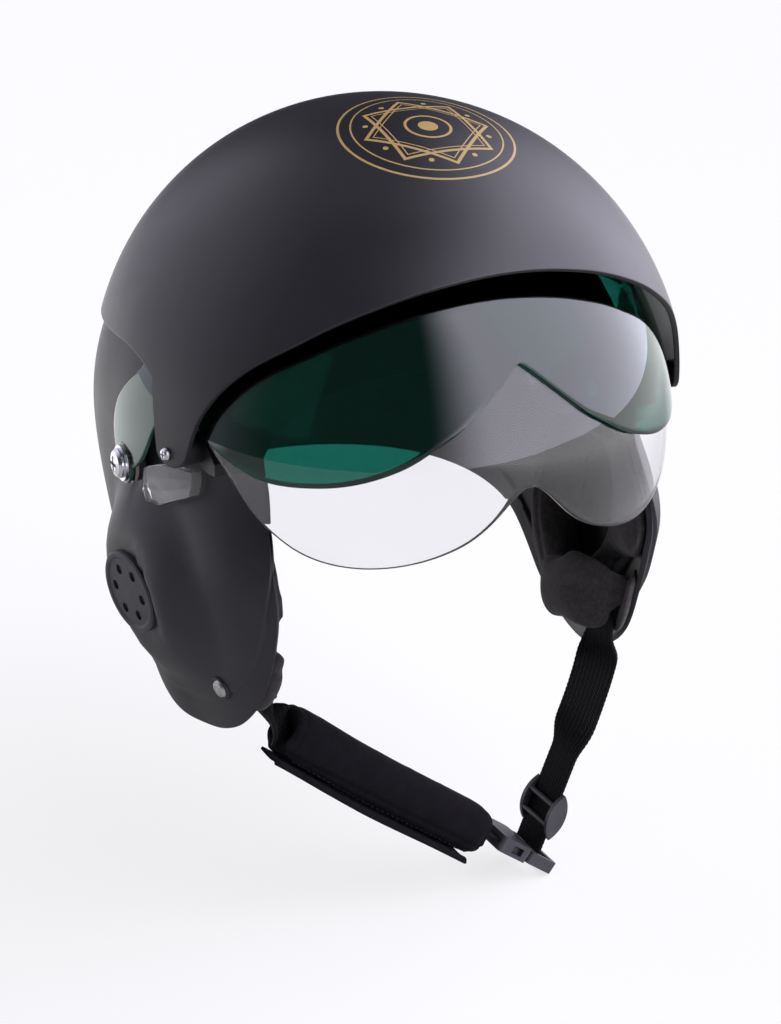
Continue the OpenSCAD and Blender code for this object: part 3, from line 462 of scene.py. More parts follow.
def wholeRim(half, rounds):
    # Front to back on one side, then back to front on the other, as azimuths that keep rising.
    half = np.array(half, float)
    other = half[-2:0:-1].copy()
    other[:, 0] = 360 - other[:, 0]
    loop = np.vstack([half, other])
    turns = loop[:, 0] - np.arange(len(loop)) * 360 / len(loop)
    smooth = refined(np.stack([turns, loop[:, 1]], 1), rounds)
    smooth[:, 0] += np.arange(len(smooth)) * 360 / len(smooth)
    return smooth


def domeWall(rim, reach, centre, size, mixShare, shift=None):
    # One skin: from the crown down the inner wall, round the rim's edge and up the outer wall again.
    columns = np.arange(len(rim) + 1)
    around = np.vstack([rim, rim[:1] + [360, 0]])
    span = np.radians(around[:, 1]) * size["radius"]
    turns = np.radians([0, 22, 45, 67, 90])
    corner = [(size["edge"] * (1 - math.sin(a)), size["edge"] * (math.cos(a) - 1)) for a in turns]
    outer = [(u * (1 - size["far"] / span), 0) for u in np.linspace(0, 1, size["rows"])]
    outer += [(1 - s / span, 0) for s in size["near"]] + [(1 - s / span, lift) for s, lift in corner]
    inner = [(1 - s / span, -size["wall"] - lift) for s, lift in corner[::-1]]
    inner += [(1 - s / span, -size["wall"]) for s in size["near"][::-1]]
    inner += [(u * (1 - size["far"] / span), -size["wall"]) for u in np.linspace(1, 0, size["rows"])]
    rows = []
    for t, lift in (outer + inner)[::-1]:
        m = mixShare(t)
        d = aim(360 * columns / len(rim) * (1 - m) + around[:, 0] * m, around[:, 1] * t)
        r = reach(d) + lift
        if shift is not None:
            r = r + shift(around, (1 - t) * span)
        rows.append(np.array(centre) + d * r[:, None])
    return np.array(rows)


shellRim = wholeRim(shell["rim"], 3)


def flangeShift(around, fromRim):
    # The flap's edge is a flat flange, a step below the body of the shell.
    low = fade(fromRim, shell["flangeWidth"] - shell["flangeSoft"] / 2, shell["flangeSoft"]) - 1
    side = np.minimum(around[:, 0] % 360, 360 - around[:, 0] % 360)
    onFlap = fade(around[:, 1], *shell["flangeDown"]) * fade(-side, *shell["flangeFront"])
    return shell["flangeStep"] * low * onFlap


def skinPiece(name, points, nodeName, finish):
    piece = formedGrid(name, points)
    mergeDoubles(piece, mergeGap)
    smoothPiece(piece, 60)
    return settle(piece, "helmet", [nodeName], finish)


shellPoints = domeWall(shellRim, shellReach, shell["centre"], shell, lambda t: t, flangeShift)
# A flat seat for each pivot's collar.
off = np.hypot(shellPoints[..., 1], shellPoints[..., 2])
most = shell["bossFace"] + shell["bossLift"] * fade(off, shell["bossRadius"], shell["bossFade"])
shellPoints[..., 0] = np.clip(shellPoints[..., 0], -most, most)
# A flat seat for each ear cap, sunk into the swelling over the ear.
capMiddle = np.array(shell["centre"]) + aim(*shell["cupMiddle"]) * shellReach(aim(*shell["cupMiddle"]))
for side in (1, -1):
    outward = shell["capOut"] / np.linalg.norm(shell["capOut"]) * [side, 1, 1]
    away = shellPoints - capMiddle * [side, 1, 1]
    height = away @ outward
    off = np.linalg.norm(away - height[..., None] * outward, axis=-1)
    seat = shell["capSeat"] + shell["capLift"] * fade(off, shell["capRadius"], shell["capFade"])
    over = np.maximum(0, height - seat)
    over[(off > shell["capEnd"]) | (height < -shell["capDepth"])] = 0
    shellPoints -= over[..., None] * outward
helmetShell = skinPiece("helmetShell", shellPoints, "helmet_shell", shellPaint)
print("helmet: shell", len(helmetShell.data.polygons))

coverPoints = domeWall(wholeRim(cover["rim"], 3), coverReach, cover["centre"], cover,
                       lambda t: 0.5 * (t + ease(t)))
visorCover = skinPiece("visorCover", coverPoints, "visor_cover", coverPaint)
visorCover.data.materials.append(coverEmblem)
for face in visorCover.data.polygons:
    fromEmblem = (face.center / mm - Vector(emblem["place"])).length
    if face.normal.z > 0 and fromEmblem < emblem["radius"] + emblem["margin"]:
        face.material_index = 1
print("helmet: visor cover", len(visorCover.data.polygons))

# The two visors, each a thin sheet on an ellipsoid about the pivot axis with a hub at each end.
clearVisor = {"halfWidth": 124, "radius": 127,
              "edges": [[0, 4.4, 51], [1.6, 4.1, 51], [4.2, 2.1, 51], [8, -1.6, 51], [12.2, -4.8, 51.2],
                        [17, -7.2, 51.4], [22.5, -9.2, 51.8], [28.5, -10.7, 52.4], [34.5, -11.4, 53.2],
                        [40, -11, 54.4], [45, -9.1, 56], [50, -4.9, 58], [53.8, 0.8, 60], [57.2, 9, 62.5],
                        [60.5, 18.5, 65], [62.4, 26, 66.5], [63.8, 36, 68], [66, 42.5, 70], [69, 45, 72],
                        [72.5, 46, 73], [76, 44, 73], [79.5, 40, 72], [82.5, 32, 76], [84.8, 22, 84],
                        [86.4, 10, 96]]}
sunVisor = {"halfWidth": 126.5, "radius": 129.7,
            "edges": [[0, 26.8, 51], [1.2, 26.2, 51], [3.6, 24.2, 51], [6.7, 21.6, 51], [10, 19, 51.2],
                      [14, 16, 51.4], [18.8, 13.4, 51.8], [23.5, 11, 52.4], [29.3, 9.1, 53.2], [35, 8, 54.4],
                      [40.7, 7.8, 56], [46.7, 8.4, 58.4], [51.6, 10.4, 61], [56, 14.8, 64], [59.4, 19.8, 67],
                      [61.4, 24.5, 69], [62.8, 33, 70.5], [65, 40.5, 73], [68, 43.5, 77], [71.5, 43, 82],
                      [75, 39, 96], [78, 31, 116], [81, 21, 134], [83.6, 12, 148], [85.2, 4, 158],
                      [86.5, -4, 166]]}
visorSheet = {"wall": 1.5, "hub": 9, "bore": 3.1, "boreLength": 300, "rows": 30, "rounding": 0.25,
              "edgeTurn": 0.6}


def visorPlace(sheet, across, up):
    a, t = np.radians(across), np.radians(up)
    return np.stack([sheet["halfWidth"] * np.sin(a), -sheet["radius"] * np.cos(a) * np.cos(t),
                     sheet["radius"] * np.cos(a) * np.sin(t)], -1)


def makeVisor(sheet, name, body, nodeName, lens, edge):
    half = np.array(sheet["edges"], float)
    left = half[:0:-1] * [-1, 1, 1]
    edges = refined(np.vstack([left, half]), 2, closed=False)
    shares = np.linspace(0, 1, visorSheet["rows"])
    up = edges[:, 1][None, :] * (1 - shares[:, None]) + edges[:, 2][None, :] * shares[:, None]
    piece = formedGrid(name, visorPlace(sheet, np.broadcast_to(edges[:, 0], up.shape), up))
    finishWith(piece, "SOLIDIFY", thickness=visorSheet["wall"] * mm, offset=-1, use_even_offset=True)
    hubs = []
    for side in (-1, 1):
        clearSelection()
        hubX = side * (sheet["halfWidth"] - visorSheet["wall"] / 2)
        bpy.ops.mesh.primitive_cylinder_add(vertices=96, radius=visorSheet["hub"] * mm,
                                            depth=visorSheet["wall"] * mm, location=(hubX * mm, 0, 0),
                                            rotation=(0, math.pi / 2, 0))
        hubs.append(bpy.context.object)
        bpy.ops.object.transform_apply(location=True, rotation=True, scale=True)
    for hub in hubs:
        finishWith(piece, "BOOLEAN", object=hub, operation="UNION", solver="EXACT")
    clearSelection()
    bpy.ops.mesh.primitive_cylinder_add(vertices=64, radius=visorSheet["bore"] * mm,
                                        depth=visorSheet["boreLength"] * mm, rotation=(0, math.pi / 2, 0))
    bore = bpy.context.object
    finishWith(piece, "BOOLEAN", object=bore, operation="DIFFERENCE", solver="EXACT")
    for tool in [*hubs, bore]:
        bpy.data.objects.remove(tool)
    finishWith(piece, "BEVEL", width=visorSheet["rounding"] * mm, segments=2, limit_method="ANGLE",
               angle_limit=sharpTurn)
    smoothPiece(piece, 30)
    settle(piece, body, [nodeName], lens, [edge])
    # The cut edge gets its own finish, picked by how far a face turns from the sheet's own normal.
    for face in piece.data.polygons:
        c = face.center / mm
        outward = Vector((c.x / sheet["halfWidth"] ** 2, c.y / sheet["radius"] ** 2,
                          c.z / sheet["radius"] ** 2))
        if abs(face.normal.dot(outward.normalized())) < visorSheet["edgeTurn"]:
            face.material_index = 1
    return piece


clearVisorPiece = makeVisor(clearVisor, "clearVisor", "clear_visor", "clear_visor", clearLens,
                            clearEdge)
sunVisorPiece = makeVisor(sunVisor, "sunVisor", "sun_visor", "sun_visor", sunLens, sunEdge)
print("helmet: visors", len(clearVisorPiece.data.polygons), len(sunVisorPiece.data.polygons))

# Soft pieces, swollen by a cloth simulation from slightly smaller forms.
swelling = {"frames": 20, "quality": 5, "mass": 0.3, "pressure": 4.0, "most": 2.2, "shrink": 0.8}


def readPoints(piece):
    flat = np.zeros(len(piece.data.vertices) * 3)
    piece.data.vertices.foreach_get("co", flat)
    return flat.reshape(-1, 3)


def readNormals(piece):
    flat = np.zeros(len(piece.data.vertices) * 3)
    piece.data.vertices.foreach_get("normal", flat)
    return flat.reshape(-1, 3)


def writePoints(piece, points):
    piece.data.vertices.foreach_set("co", points.reshape(-1))
    piece.data.update()


def swellPad(piece, voxel, levels, press, within=None):
    # press gives how far in each point goes, for seams; within is the gap that stays to the shell's outer face.
    finishWith(piece, "REMESH", mode="VOXEL", voxel_size=voxel * mm, use_smooth_shade=True)
    start = readPoints(piece) - readNormals(piece) * swelling["shrink"] * mm
    writePoints(piece, start)
    pick(piece)
    cloth = piece.modifiers.new("Cloth", "CLOTH")
    cloth.settings.quality = swelling["quality"]
    cloth.settings.mass = swelling["mass"]
    cloth.settings.use_pressure = True
    cloth.settings.uniform_pressure_force = swelling["pressure"]
    cloth.settings.effector_weights.gravity = 0
    cloth.collision_settings.use_collision = False
    for frameNumber in range(1, swelling["frames"] + 1):
        bpy.context.scene.frame_set(frameNumber)
    bpy.ops.object.modifier_apply(modifier=cloth.name)
    bpy.context.scene.frame_set(1)
    moved = readPoints(piece) - start
    far = np.linalg.norm(moved, axis=1, keepdims=True)
    writePoints(piece, start + moved * np.minimum(1, swelling["most"] * mm / np.maximum(far, 1e-9)))
    finishWith(piece, "SUBSURF", levels=levels, render_levels=levels)
    if within is not None:
        points = readPoints(piece) / mm - shell["centre"]
        far = np.linalg.norm(points, axis=1, keepdims=True)
        room = shellReach(points / far)[:, None] - within
        writePoints(piece, (points * np.minimum(1, room / far) + shell["centre"]) * mm)
    points = readPoints(piece)
    writePoints(piece, points - readNormals(piece) * press(points / mm)[:, None] * mm)
    smoothPiece(piece, 180)
    return piece


def groove(distance, width, depth):
    return depth * np.exp(-(distance / width) ** 2)


linerSeam = {"crossY": 25, "width": 1.6, "depth": 1.1}
padSeam = {"azimuth": 76, "down": 117.5, "halfAcross": 11.5, "halfDown": 13, "share": 1.75,
           "width": 0.09, "depth": 0.9, "behind": 10}


def linerSeams(points):
    # A stitched line over the crown from front to back and one from side to side.
    size = linerSeam["width"], linerSeam["depth"]
    return groove(points[:, 0], *size) + groove(points[:, 1] - linerSeam["crossY"], *size)


def padSeams(points):
    # A line round the pad, a little way in from its rim on the inner side.
    d = points - shell["centre"]
    far = np.linalg.norm(d, axis=1)
    d = d / far[:, None]
    azimuth = np.degrees(np.arctan2(np.abs(d[:, 0]), -d[:, 1]))
    down = np.degrees(np.arccos(d[:, 2]))
    out = np.hypot((azimuth - padSeam["azimuth"]) / padSeam["halfAcross"],
                   (down - padSeam["down"]) / padSeam["halfDown"])
    face = far < shellReach(d) - padSeam["behind"]
    return face * groove(out - padSeam["share"], padSeam["width"], padSeam["depth"])


foamLiner = swellPad(copyNode("foam_liner", "foamLiner"), voxel=5, levels=1, press=linerSeams, within=3.9)
settle(foamLiner, "helmet", ["foam_liner"], padFoam)
leftEarPad = swellPad(copyNode("left_ear_pad", "leftEarPad"), voxel=4.5, levels=2, press=padSeams, within=4.8)
rightEarPad = mirrored(leftEarPad, "rightEarPad")
settle(leftEarPad, "helmet", ["left_ear_pad"], padFoam)
settle(rightEarPad, "helmet", ["right_ear_pad"], padFoam)
print("helmet: foam", len(foamLiner.data.polygons), len(leftEarPad.data.polygons))

# Webbing, along its line in the XZ plane, with ribs across it and a scalloped edge.
webbing = {"width": 20, "thick": 1.6, "middleY": -49.911, "swingZ": -93.138, "eyeX": 85.908, "eyeTip": 0.3,
           "pitch": 2.3, "scallop": 0.28, "spacing": 0.8, "rounding": 0.45}
sleeve = {"start": (-78.558, -113.638), "slope": 37.3, "length": 131, "height": 25.4, "depth": 25,
          "square": 0.72, "belly": 2.4, "bellyAt": 60}
slope = math.radians(sleeve["slope"])


def onRun(along, lift=0):
    return (sleeve["start"][0] + math.cos(slope) * along + math.sin(slope) * lift,
            sleeve["start"][1] - math.sin(slope) * along + math.cos(slope) * lift)


def evenPath(points, spacing):
    points = refined(points, 4, closed=False)
    lengths = np.concatenate([[0], np.cumsum(np.linalg.norm(np.diff(points, axis=0), axis=1))])
    wanted = np.linspace(0, lengths[-1], int(lengths[-1] / spacing) + 1)
    return np.stack([np.interp(wanted, lengths, points[:, k]) for k in range(points.shape[1])], 1), wanted


def webStrip(name, path, halfWidth, turnShare, nodeName):
    points, along = evenPath(path, webbing["spacing"])
    ahead = np.gradient(points, axis=0)
    ahead /= np.linalg.norm(ahead, axis=1, keepdims=True)
    across = np.linspace(-1, 1, 17)
    half = np.array([halfWidth(s) for s in along])
    half = half + webbing["scallop"] * np.abs(np.sin(np.pi * along / webbing["pitch"])) - webbing["scallop"]
    lean = np.radians([turnShare(s / along[-1]) for s in along])
    rows = []
    for w in across:
        y = webbing["middleY"] + w * half * np.cos(lean)
        side = w * half * np.sin(lean)
        rows.append(np.stack([points[:, 0] - ahead[:, 1] * side, y, points[:, 1] + ahead[:, 0] * side], 1))
    piece = formedGrid(name, np.array(rows))
    uvs = np.zeros(len(piece.data.loops) * 2, np.float32)
    piece.data.uv_layers[0].data.foreach_get("uv", uvs)
    uvs = uvs.reshape(-1, 2) * [along[-1], webbing["width"]]
    piece.data.uv_layers[0].data.foreach_set("uv", uvs.astype(np.float32).reshape(-1))
    finishWith(piece, "SOLIDIFY", thickness=webbing["thick"] * mm, offset=0, use_even_offset=True)
    finishWith(piece, "BEVEL", width=webbing["rounding"] * mm, segments=2, limit_method="ANGLE",
               angle_limit=sharpTurn)
    smoothPiece(piece, 40)
    settle(piece, "chin_strap", [nodeName], strapWeave)


def eyeWidth(along):
    # Half the width: rounded at the eye, then plain.
    radius = webbing["width"] / 2
    if along > radius:
        return radius
    return math.sqrt(max(webbing["eyeTip"] ** 2, radius ** 2 - (radius - along) ** 2))


def leftTwist(share):
    # Face-on to the front over its upper half, edge-on again before the ladder lock.
    return -60 * fade(share, 0.14, 0.16) * (1 - fade(share, 0.44, 0.19))


def rightTwist(share):
    # Turned to the front as it enters the sleeve, and flat again inside it.
    return 72 * fade(share, 0.15, 0.06) * (1 - fade(share, 0.35, 0.3))


eyeX, eyeZ = webbing["eyeX"], webbing["swingZ"]
rightPath = [(-eyeX, eyeZ + 10), (-eyeX, eyeZ), (-eyeX, eyeZ - 8.1), (-eyeX + 0.5, eyeZ - 12.5),
             (-eyeX + 2.6, eyeZ - 16.8), onRun(0, 0.2), onRun(8), onRun(40), onRun(90), onRun(136.5)]
webStrip("rightStrap", rightPath, eyeWidth, rightTwist, "right_strap")
leftPath = [(eyeX, eyeZ + 10), (eyeX, eyeZ), (eyeX, eyeZ - 8.1), (85.8, -106.5), (85.08, -113.9),
            (82.6, -124.1), (78.46, -136.8), (72.66, -151.9), (66.5, -167.1), (60.3, -182.4), (54.17, -197.5),
            (50.11, -207.51)]
webStrip("leftStrap", leftPath, eyeWidth, leftTwist, "left_strap")
print("helmet: webbing")

# The padded sleeve on the right webbing: a stuffed tube with a seam round each end and one along its front.
# Each pair is a share of its length and the fullness there.
sleeveShares = [(0, 0.78), (0.006, 0.88), (0.02, 0.96), (0.06, 1.0), (0.16, 1.0), (0.32, 0.985), (0.5, 0.98),
                (0.68, 0.985), (0.84, 1.0), (0.93, 0.985), (0.965, 0.93), (0.985, 0.82), (1, 0.62)]


def roundedSquare(turns, corner):
    # A unit square whose corners are rounder as corner nears 1, which gives a circle.
    c, t = np.cos(turns), np.sin(turns)
    return np.sign(c) * np.abs(c) ** corner, np.sign(t) * np.abs(t) ** corner


def sleeveRing(fullness, turns):
    # Section of the sleeve: offsets across (y) and up (h), in millimetres.
    y, h = roundedSquare(turns, sleeve["square"])
    return sleeve["depth"] / 2 * fullness * y, sleeve["height"] / 2 * fullness * h


def sleevePoint(along, y, h):
    x, z = onRun(along, h - sleeve["belly"] * ease(along / sleeve["bellyAt"]))
    return np.stack(np.broadcast_arrays(x, webbing["middleY"] + y, z), -1)


turns = np.radians(np.linspace(0, 360, 41))
rings = [sleevePoint(0.0, 0 * turns, 0 * turns)]
rings += [sleevePoint(sleeve["length"] * a, *sleeveRing(f, turns)) for a, f in sleeveShares]
rings.append(sleevePoint(sleeve["length"], 0 * turns, 0 * turns))
chinSleeve = formedGrid("chinSleeve", np.array(rings)[::-1])
mergeDoubles(chinSleeve, mergeGap, True)

sleeveSeam = {"frontY": -6, "frontUp": -7.6, "frontSize": (1.0, 0.8), "ends": (6, 125), "endSize": (1.2, 0.5)}
sleeveMouth = {"half": (8.5, 4.5), "upper": (4, 4.5), "lower": (127, 2.5)}  # where, and how deep


def sleeveSeams(points):
    x, y, z = (points - [sleeve["start"][0], webbing["middleY"], sleeve["start"][1]]).T
    along, up = x * math.cos(slope) - z * math.sin(slope), x * math.sin(slope) + z * math.cos(slope)
    pressed = (y < sleeveSeam["frontY"]) * groove(up - sleeveSeam["frontUp"], *sleeveSeam["frontSize"])
    for end in sleeveSeam["ends"]:
        pressed = pressed + groove(along - end, *sleeveSeam["endSize"])
    mouth = np.exp(-((y / sleeveMouth["half"][0]) ** 4 + (up / sleeveMouth["half"][1]) ** 4))
    upper, lower = sleeveMouth["upper"], sleeveMouth["lower"]
    return pressed + mouth * (upper[1] * (along < upper[0]) + lower[1] * (along > lower[0]))


chinSleeve = swellPad(chinSleeve, voxel=4, levels=2, press=sleeveSeams)
settle(chinSleeve, "chin_strap", ["chin_pad"], sleeveCloth)
print("helmet: sleeve", len(chinSleeve.data.polygons))


def joined(pieces, name):
    pick(pieces[0])
    for piece in pieces[1:]:
        piece.select_set(True)
    bpy.ops.object.join()
    whole = bpy.context.object
    whole.name = name
    whole.data.name = name
    return whole


def extraPiece(piece, body, material, degrees=40):
    smoothPiece(piece, degrees)
    piece.data.materials.clear()
    piece.data.materials.append(material)
    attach(piece, body)


# The sleeve's flap: a strip along its underside that hangs a little below the front edge.
flap = {"line": [(3, -12.7), (-3, -12.9), (-7.5, -12.7), (-10.2, -12.2), (-11.9, -12.3), (-13.3, -13.6)],
        "from": 0.3, "to": 121.5, "hangFrom": 12.6, "hang": 2.2, "wave": 0.3, "waveLength": 9.0,
        "lift": 1.2, "liftTo": 30, "thick": 1.5, "rounding": 0.5}
flapAlong = np.linspace(flap["from"], flap["to"], 93)
flapWave = flap["wave"] * np.sin(flapAlong / flap["waveLength"])
flapWave = flapWave - flap["lift"] * (1 - np.clip(flapAlong / flap["liftTo"], 0, 1))
flapRows = []
for y, h in refined(flap["line"], 2, closed=False):
    hang = np.clip((-h - flap["hangFrom"]) / flap["hang"], 0, 1)
    flapRows.append(sleevePoint(flapAlong, y, h - hang * flapWave))
sleeveFlap = formedGrid("sleeveFlap", np.array(flapRows))
finishWith(sleeveFlap, "SOLIDIFY", thickness=flap["thick"] * mm, offset=0, use_even_offset=True)
finishWith(sleeveFlap, "BEVEL", width=flap["rounding"] * mm, segments=3, limit_method="ANGLE",
           angle_limit=sharpTurn)
smoothPiece(sleeveFlap, 50)
settle(sleeveFlap, "chin_strap", ["chin_pad_flap"], sleeveCloth)

# Stitches: short capsules along the flap's upper edge.
stitch = {"from": 7.5, "to": 117.0, "pitch": 3.1, "y": -12.0, "h": -9.0,
          "swell": [(0, 0.02), (0.25, 0.24), (1.1, 0.34), (1.95, 0.24), (2.2, 0.02)]}
turns = np.radians(np.linspace(0, 360, 7))
stitches = []
for along in np.arange(stitch["from"], stitch["to"], stitch["pitch"]):
    rings = [sleevePoint(along + a, stitch["y"] + r * np.cos(turns), stitch["h"] + r * np.sin(turns))
             for a, r in stitch["swell"]]
    piece = formedGrid("stitch", np.array(rings))
    mergeDoubles(piece, 2 * mergeGap, True)
    stitches.append(piece)
extraPiece(joined(stitches, "sleeveStitches"), "chin_strap", threadFinish, 180)

# Foam inside each flap: a cheek pad inwards of the strap anchor, and a strip along the front edge.
# The pad's inner and outer faces are lists of y and x. A pair such as foreFade is where an edge starts to move
# from its first place to its second, and over how many millimetres.
cheek = {"fore": (-61.0, -68.0), "foreFade": (-86, 6), "rear": (14.0, -20.0), "rearFade": (-84, 18),
         "top": -65.0, "topFall": 6, "topFade": (-42, 30), "low": -101.5, "lowFall": 8, "lowFade": (-34, 24),
         "trim": (1.3, 1.5), "trimBack": (-54, 8), "trimDown": (91, 8), "corner": 0.6,
         "inner": [(-72, 92.5), (-68, 88.8), (-64, 85.2), (-60, 82.7), (-54, 80.6), (-46, 78.0), (-38, 76.4),
                   (-25, 76.6), (-10, 79.0), (3, 84.0), (12, 91.5), (18, 95.0)],
         "outer": [(-72, 95.5), (-66, 94.0), (-63, 88.0), (-61, 84.1), (-55, 84.0), (-45, 84.0), (-37, 84.0),
                   (-32, 84.3), (-28, 86.5), (-22, 93.0), (-14, 95.0), (0, 95.0), (18, 96.0)]}
strip = {"topZ": -66.0, "lowZ": -101.0, "half": 6.4, "thick": 4.4, "inFromRim": 7.6, "inFromFace": 4.0,
         "corner": 0.6, "startX": 90}
flapRim = np.array([(-64, -76.5), (-70, -75.8), (-76, -72.9), (-82, -72.0), (-88, -69.3), (-94, -66.0),
                    (-100, -62.0), (-106, -57.3), (-112, -51.8)])  # z and y of the flap's front edge


def cheekPoint(a, b, lift):
    level = cheek["low"] + (cheek["top"] - cheek["low"]) * (b + 1) / 2
    fore = cheek["fore"][0] + (cheek["fore"][1] - cheek["fore"][0]) * fade(level, *cheek["foreFade"])
    rear = cheek["rear"][0] + (cheek["rear"][1] - cheek["rear"][0]) * fade(level, *cheek["rearFade"])
    y = fore + (rear - fore) * (a + 1) / 2
    top = cheek["top"] - cheek["topFall"] * fade(y, *cheek["topFade"])
    low = cheek["low"] - cheek["lowFall"] * fade(y, *cheek["lowFade"])
    z = low + (top - low) * (b + 1) / 2
    inner, outer = [np.interp(y, *refined(cheek[side], 3, closed=False).T) for side in ("inner", "outer")]
    # Room for the webbing as it swings back.
    trim = cheek["trim"][0] + cheek["trim"][1] * fade(y, *cheek["trimBack"])
    outer = outer - trim * fade(-z, *cheek["trimDown"])
    return np.stack([(inner + outer) / 2 + (outer - inner) / 2 * lift, y, z], 1)


def stripPoint(off, z, lift):
    # The shell's inner face is met at this y and z in a few rounds, because the reach is along the direction.
    y = np.interp(-z, -flapRim[:, 0], flapRim[:, 1]) + strip["inFromRim"] + off
    far = np.stack([0 * z + strip["startX"], y, z], 1)
    for _ in range(6):
        way = far - shell["centre"]
        way = way / np.linalg.norm(way, axis=1, keepdims=True)
        reach = shellReach(way) - strip["inFromFace"] - strip["thick"] / 2 * (1 - lift)
        far = shell["centre"] + way * reach[:, None]
        far[:, 1], far[:, 2] = y, z
    return far


padSide = 0.45  # nearer 0 gives a thin pad squarer sides


def thinPad(name, place, corner, middle, half):
    # Closed rings from the inner side to the flap's side, over a rounded square.
    a, b = roundedSquare(np.radians(np.linspace(0, 360, 81)), corner)
    rows = []
    for lift in np.radians(np.linspace(-90, 90, 19)):
        wide = abs(math.cos(lift)) ** padSide
        rows.append(place(middle[0] + half[0] * wide * a, middle[1] + half[1] * wide * b, math.sin(lift)))
    piece = formedGrid(name, np.array(rows))
    mergeDoubles(piece, mergeGap, True)
    finishWith(piece, "SUBSURF", levels=1, render_levels=1)
    return piece


leftCheek = thinPad("leftCheekPad", cheekPoint, cheek["corner"], (0, 0), (1, 1))
stripMiddle, stripHalf = (strip["topZ"] + strip["lowZ"]) / 2, (strip["topZ"] - strip["lowZ"]) / 2
leftStrip = thinPad("leftFlapStrip", stripPoint, strip["corner"], (0, stripMiddle), (strip["half"], stripHalf))
rightCheek, rightStrip = mirrored(leftCheek, "rightCheekPad"), mirrored(leftStrip, "rightFlapStrip")
for piece in (leftCheek, leftStrip, rightCheek, rightStrip):
    extraPiece(piece, "helmet", padFoam, 180)
print("helmet: flap foam")

# A dark ring under the head of each strap rivet.
rivet = {"place": (102.758, -44.311, -92.538), "out": (0.949, -0.252, -0.19),
         "ring": [(4.25, -1.5), (4.25, 0.55), (4.5, 0.95), (5.1, 1.0), (5.5, 0.7), (5.7, 0.1), (5.7, -1.5)]}
rivetUp = Vector(rivet["out"]).normalized()
rivetRight = rivetUp.cross(Vector((0, 0, 1))).normalized()
rivetTurn = np.array(Matrix([rivetRight, rivetUp.cross(rivetRight), rivetUp]).transposed())
turns = np.radians(np.linspace(0, 360, 49))
ringRows = [np.stack([r * np.cos(turns), r * np.sin(turns), h + 0 * turns], 1)
            for r, h in refined(rivet["ring"], 1, closed=False)]
leftRing = formedGrid("leftRivetRing", np.array(ringRows) @ rivetTurn.T + rivet["place"])
mergeDoubles(leftRing, mergeGap, True)
rightRing = mirrored(leftRing, "rightRivetRing")
for piece in (leftRing, rightRing):
    extraPiece(piece, "helmet", fittingBlack)
print("helmet: rivet rings")

# CAD nodes that stay, with the bright and the black finishes.
keptNodes = {"right_ear_cap": capPlastic, "left_ear_cap": capPlastic, "right_standoff": fittingBlack,
             "left_standoff": fittingBlack, "right_clear_block": blockLens, "left_clear_block": blockLens,
             "tab_screws": brightZinc, "pivot_screws": brightZinc, "pivot_washers": brightZinc,
             "pivot_collars": fittingBlack, "pivot_spacers": fittingBlack, "pivot_nuts": brightZinc,
             "strap_rivets": rivetNickel, "right_strap_anchor": fittingBlack, "left_strap_anchor": fittingBlack,
             "strap_pins": brightZinc, "buckle_socket": bucklePlastic, "buckle_plug": bucklePlastic,
             "strap_slider": bucklePlastic}
keptEdge = {"width": 0.25, "segments": 2, "sharp": 40, "smooth": 35}
for nodeName, finish in keptNodes.items():
    node = cadNodes[nodeName]
    node.data.materials.clear()
    node.data.materials.append(finish)
    rounding = node.modifiers.new("rounding", "BEVEL")
    rounding.width = keptEdge["width"] * mm
    rounding.segments = keptEdge["segments"]
    rounding.limit_method = "ANGLE"
    rounding.angle_limit = math.radians(keptEdge["sharp"])
    smoothPiece(node, keptEdge["smooth"])

# Stage: a pale floor under the lowest point, a white surround and soft lamps.
stage = {"floorDrop": 0.5, "floorSize": 14, "floorGrey": 0.80, "floorWhite": 0.72,
         "dim": 0.05, "rightGlow": 3.7, "leftGlow": 0.98, "tint": (0.98, 0.95, 1.12),
         "lamps": [{"name": "rightSoftbox", "place": (0.95, -0.75, 0.95), "size": (0.9, 0.9), "power": 3},
                   {"name": "leftSoftbox", "place": (-1.5, -0.4, 0.7), "size": (1.0, 1.0), "power": 3}]}
clearSelection()
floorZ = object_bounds()[0].z - stage["floorDrop"] * mm
bpy.ops.mesh.primitive_plane_add(size=stage["floorSize"], location=(0, 0, floorZ))
floor = bpy.context.object
floor.name = "floor"
floorPaint = bpy.data.materials.new("floorPaint")
floorPaint.use_nodes = True
floorPaint.node_tree.nodes.clear()
# A mirrored ray sees the floor brighter towards the right panel and towards the back: a pool of light painted
# into the floor's emission.
seen = link(floorPaint, "LightPath")
floorPlace = link(floorPaint, "SeparateXYZ", {0: link(floorPaint, "TexCoord").outputs["Object"]})
towardsPanel = link(floorPaint, "MapRange", {"Value": floorPlace.outputs["X"], "From Min": 0.5, "From Max": 1.7,
                                             "To Min": 0.3, "To Max": 2.1}, interpolation_type="SMOOTHSTEP")
towardsBack = link(floorPaint, "MapRange", {"Value": floorPlace.outputs["Y"], "From Min": -0.1, "From Max": 0.9,
                                            "To Min": 0.0, "To Max": 2.0}, interpolation_type="SMOOTHSTEP")
paintedFloorGlow = link(floorPaint, "Math", {0: towardsPanel.outputs["Result"], 1: towardsBack.outputs["Result"]},
                    operation="MAXIMUM")
cameraRay, glossyRay = seen.outputs["Is Camera Ray"], seen.outputs["Is Glossy Ray"]
throughRay = seen.outputs["Is Transmission Ray"]
notThrough = link(floorPaint, "Math", {0: glossyRay, 1: throughRay}, operation="SUBTRACT", use_clamp=True)
inGloss = link(floorPaint, "Mix", {0: notThrough.outputs[0], 2: 1.0, 3: paintedFloorGlow.outputs[0]})
seenCount = link(floorPaint, "Math", {0: cameraRay, 1: glossyRay}, operation="ADD")
seenAny = link(floorPaint, "Math", {0: seenCount.outputs[0], 1: throughRay}, operation="ADD", use_clamp=True)
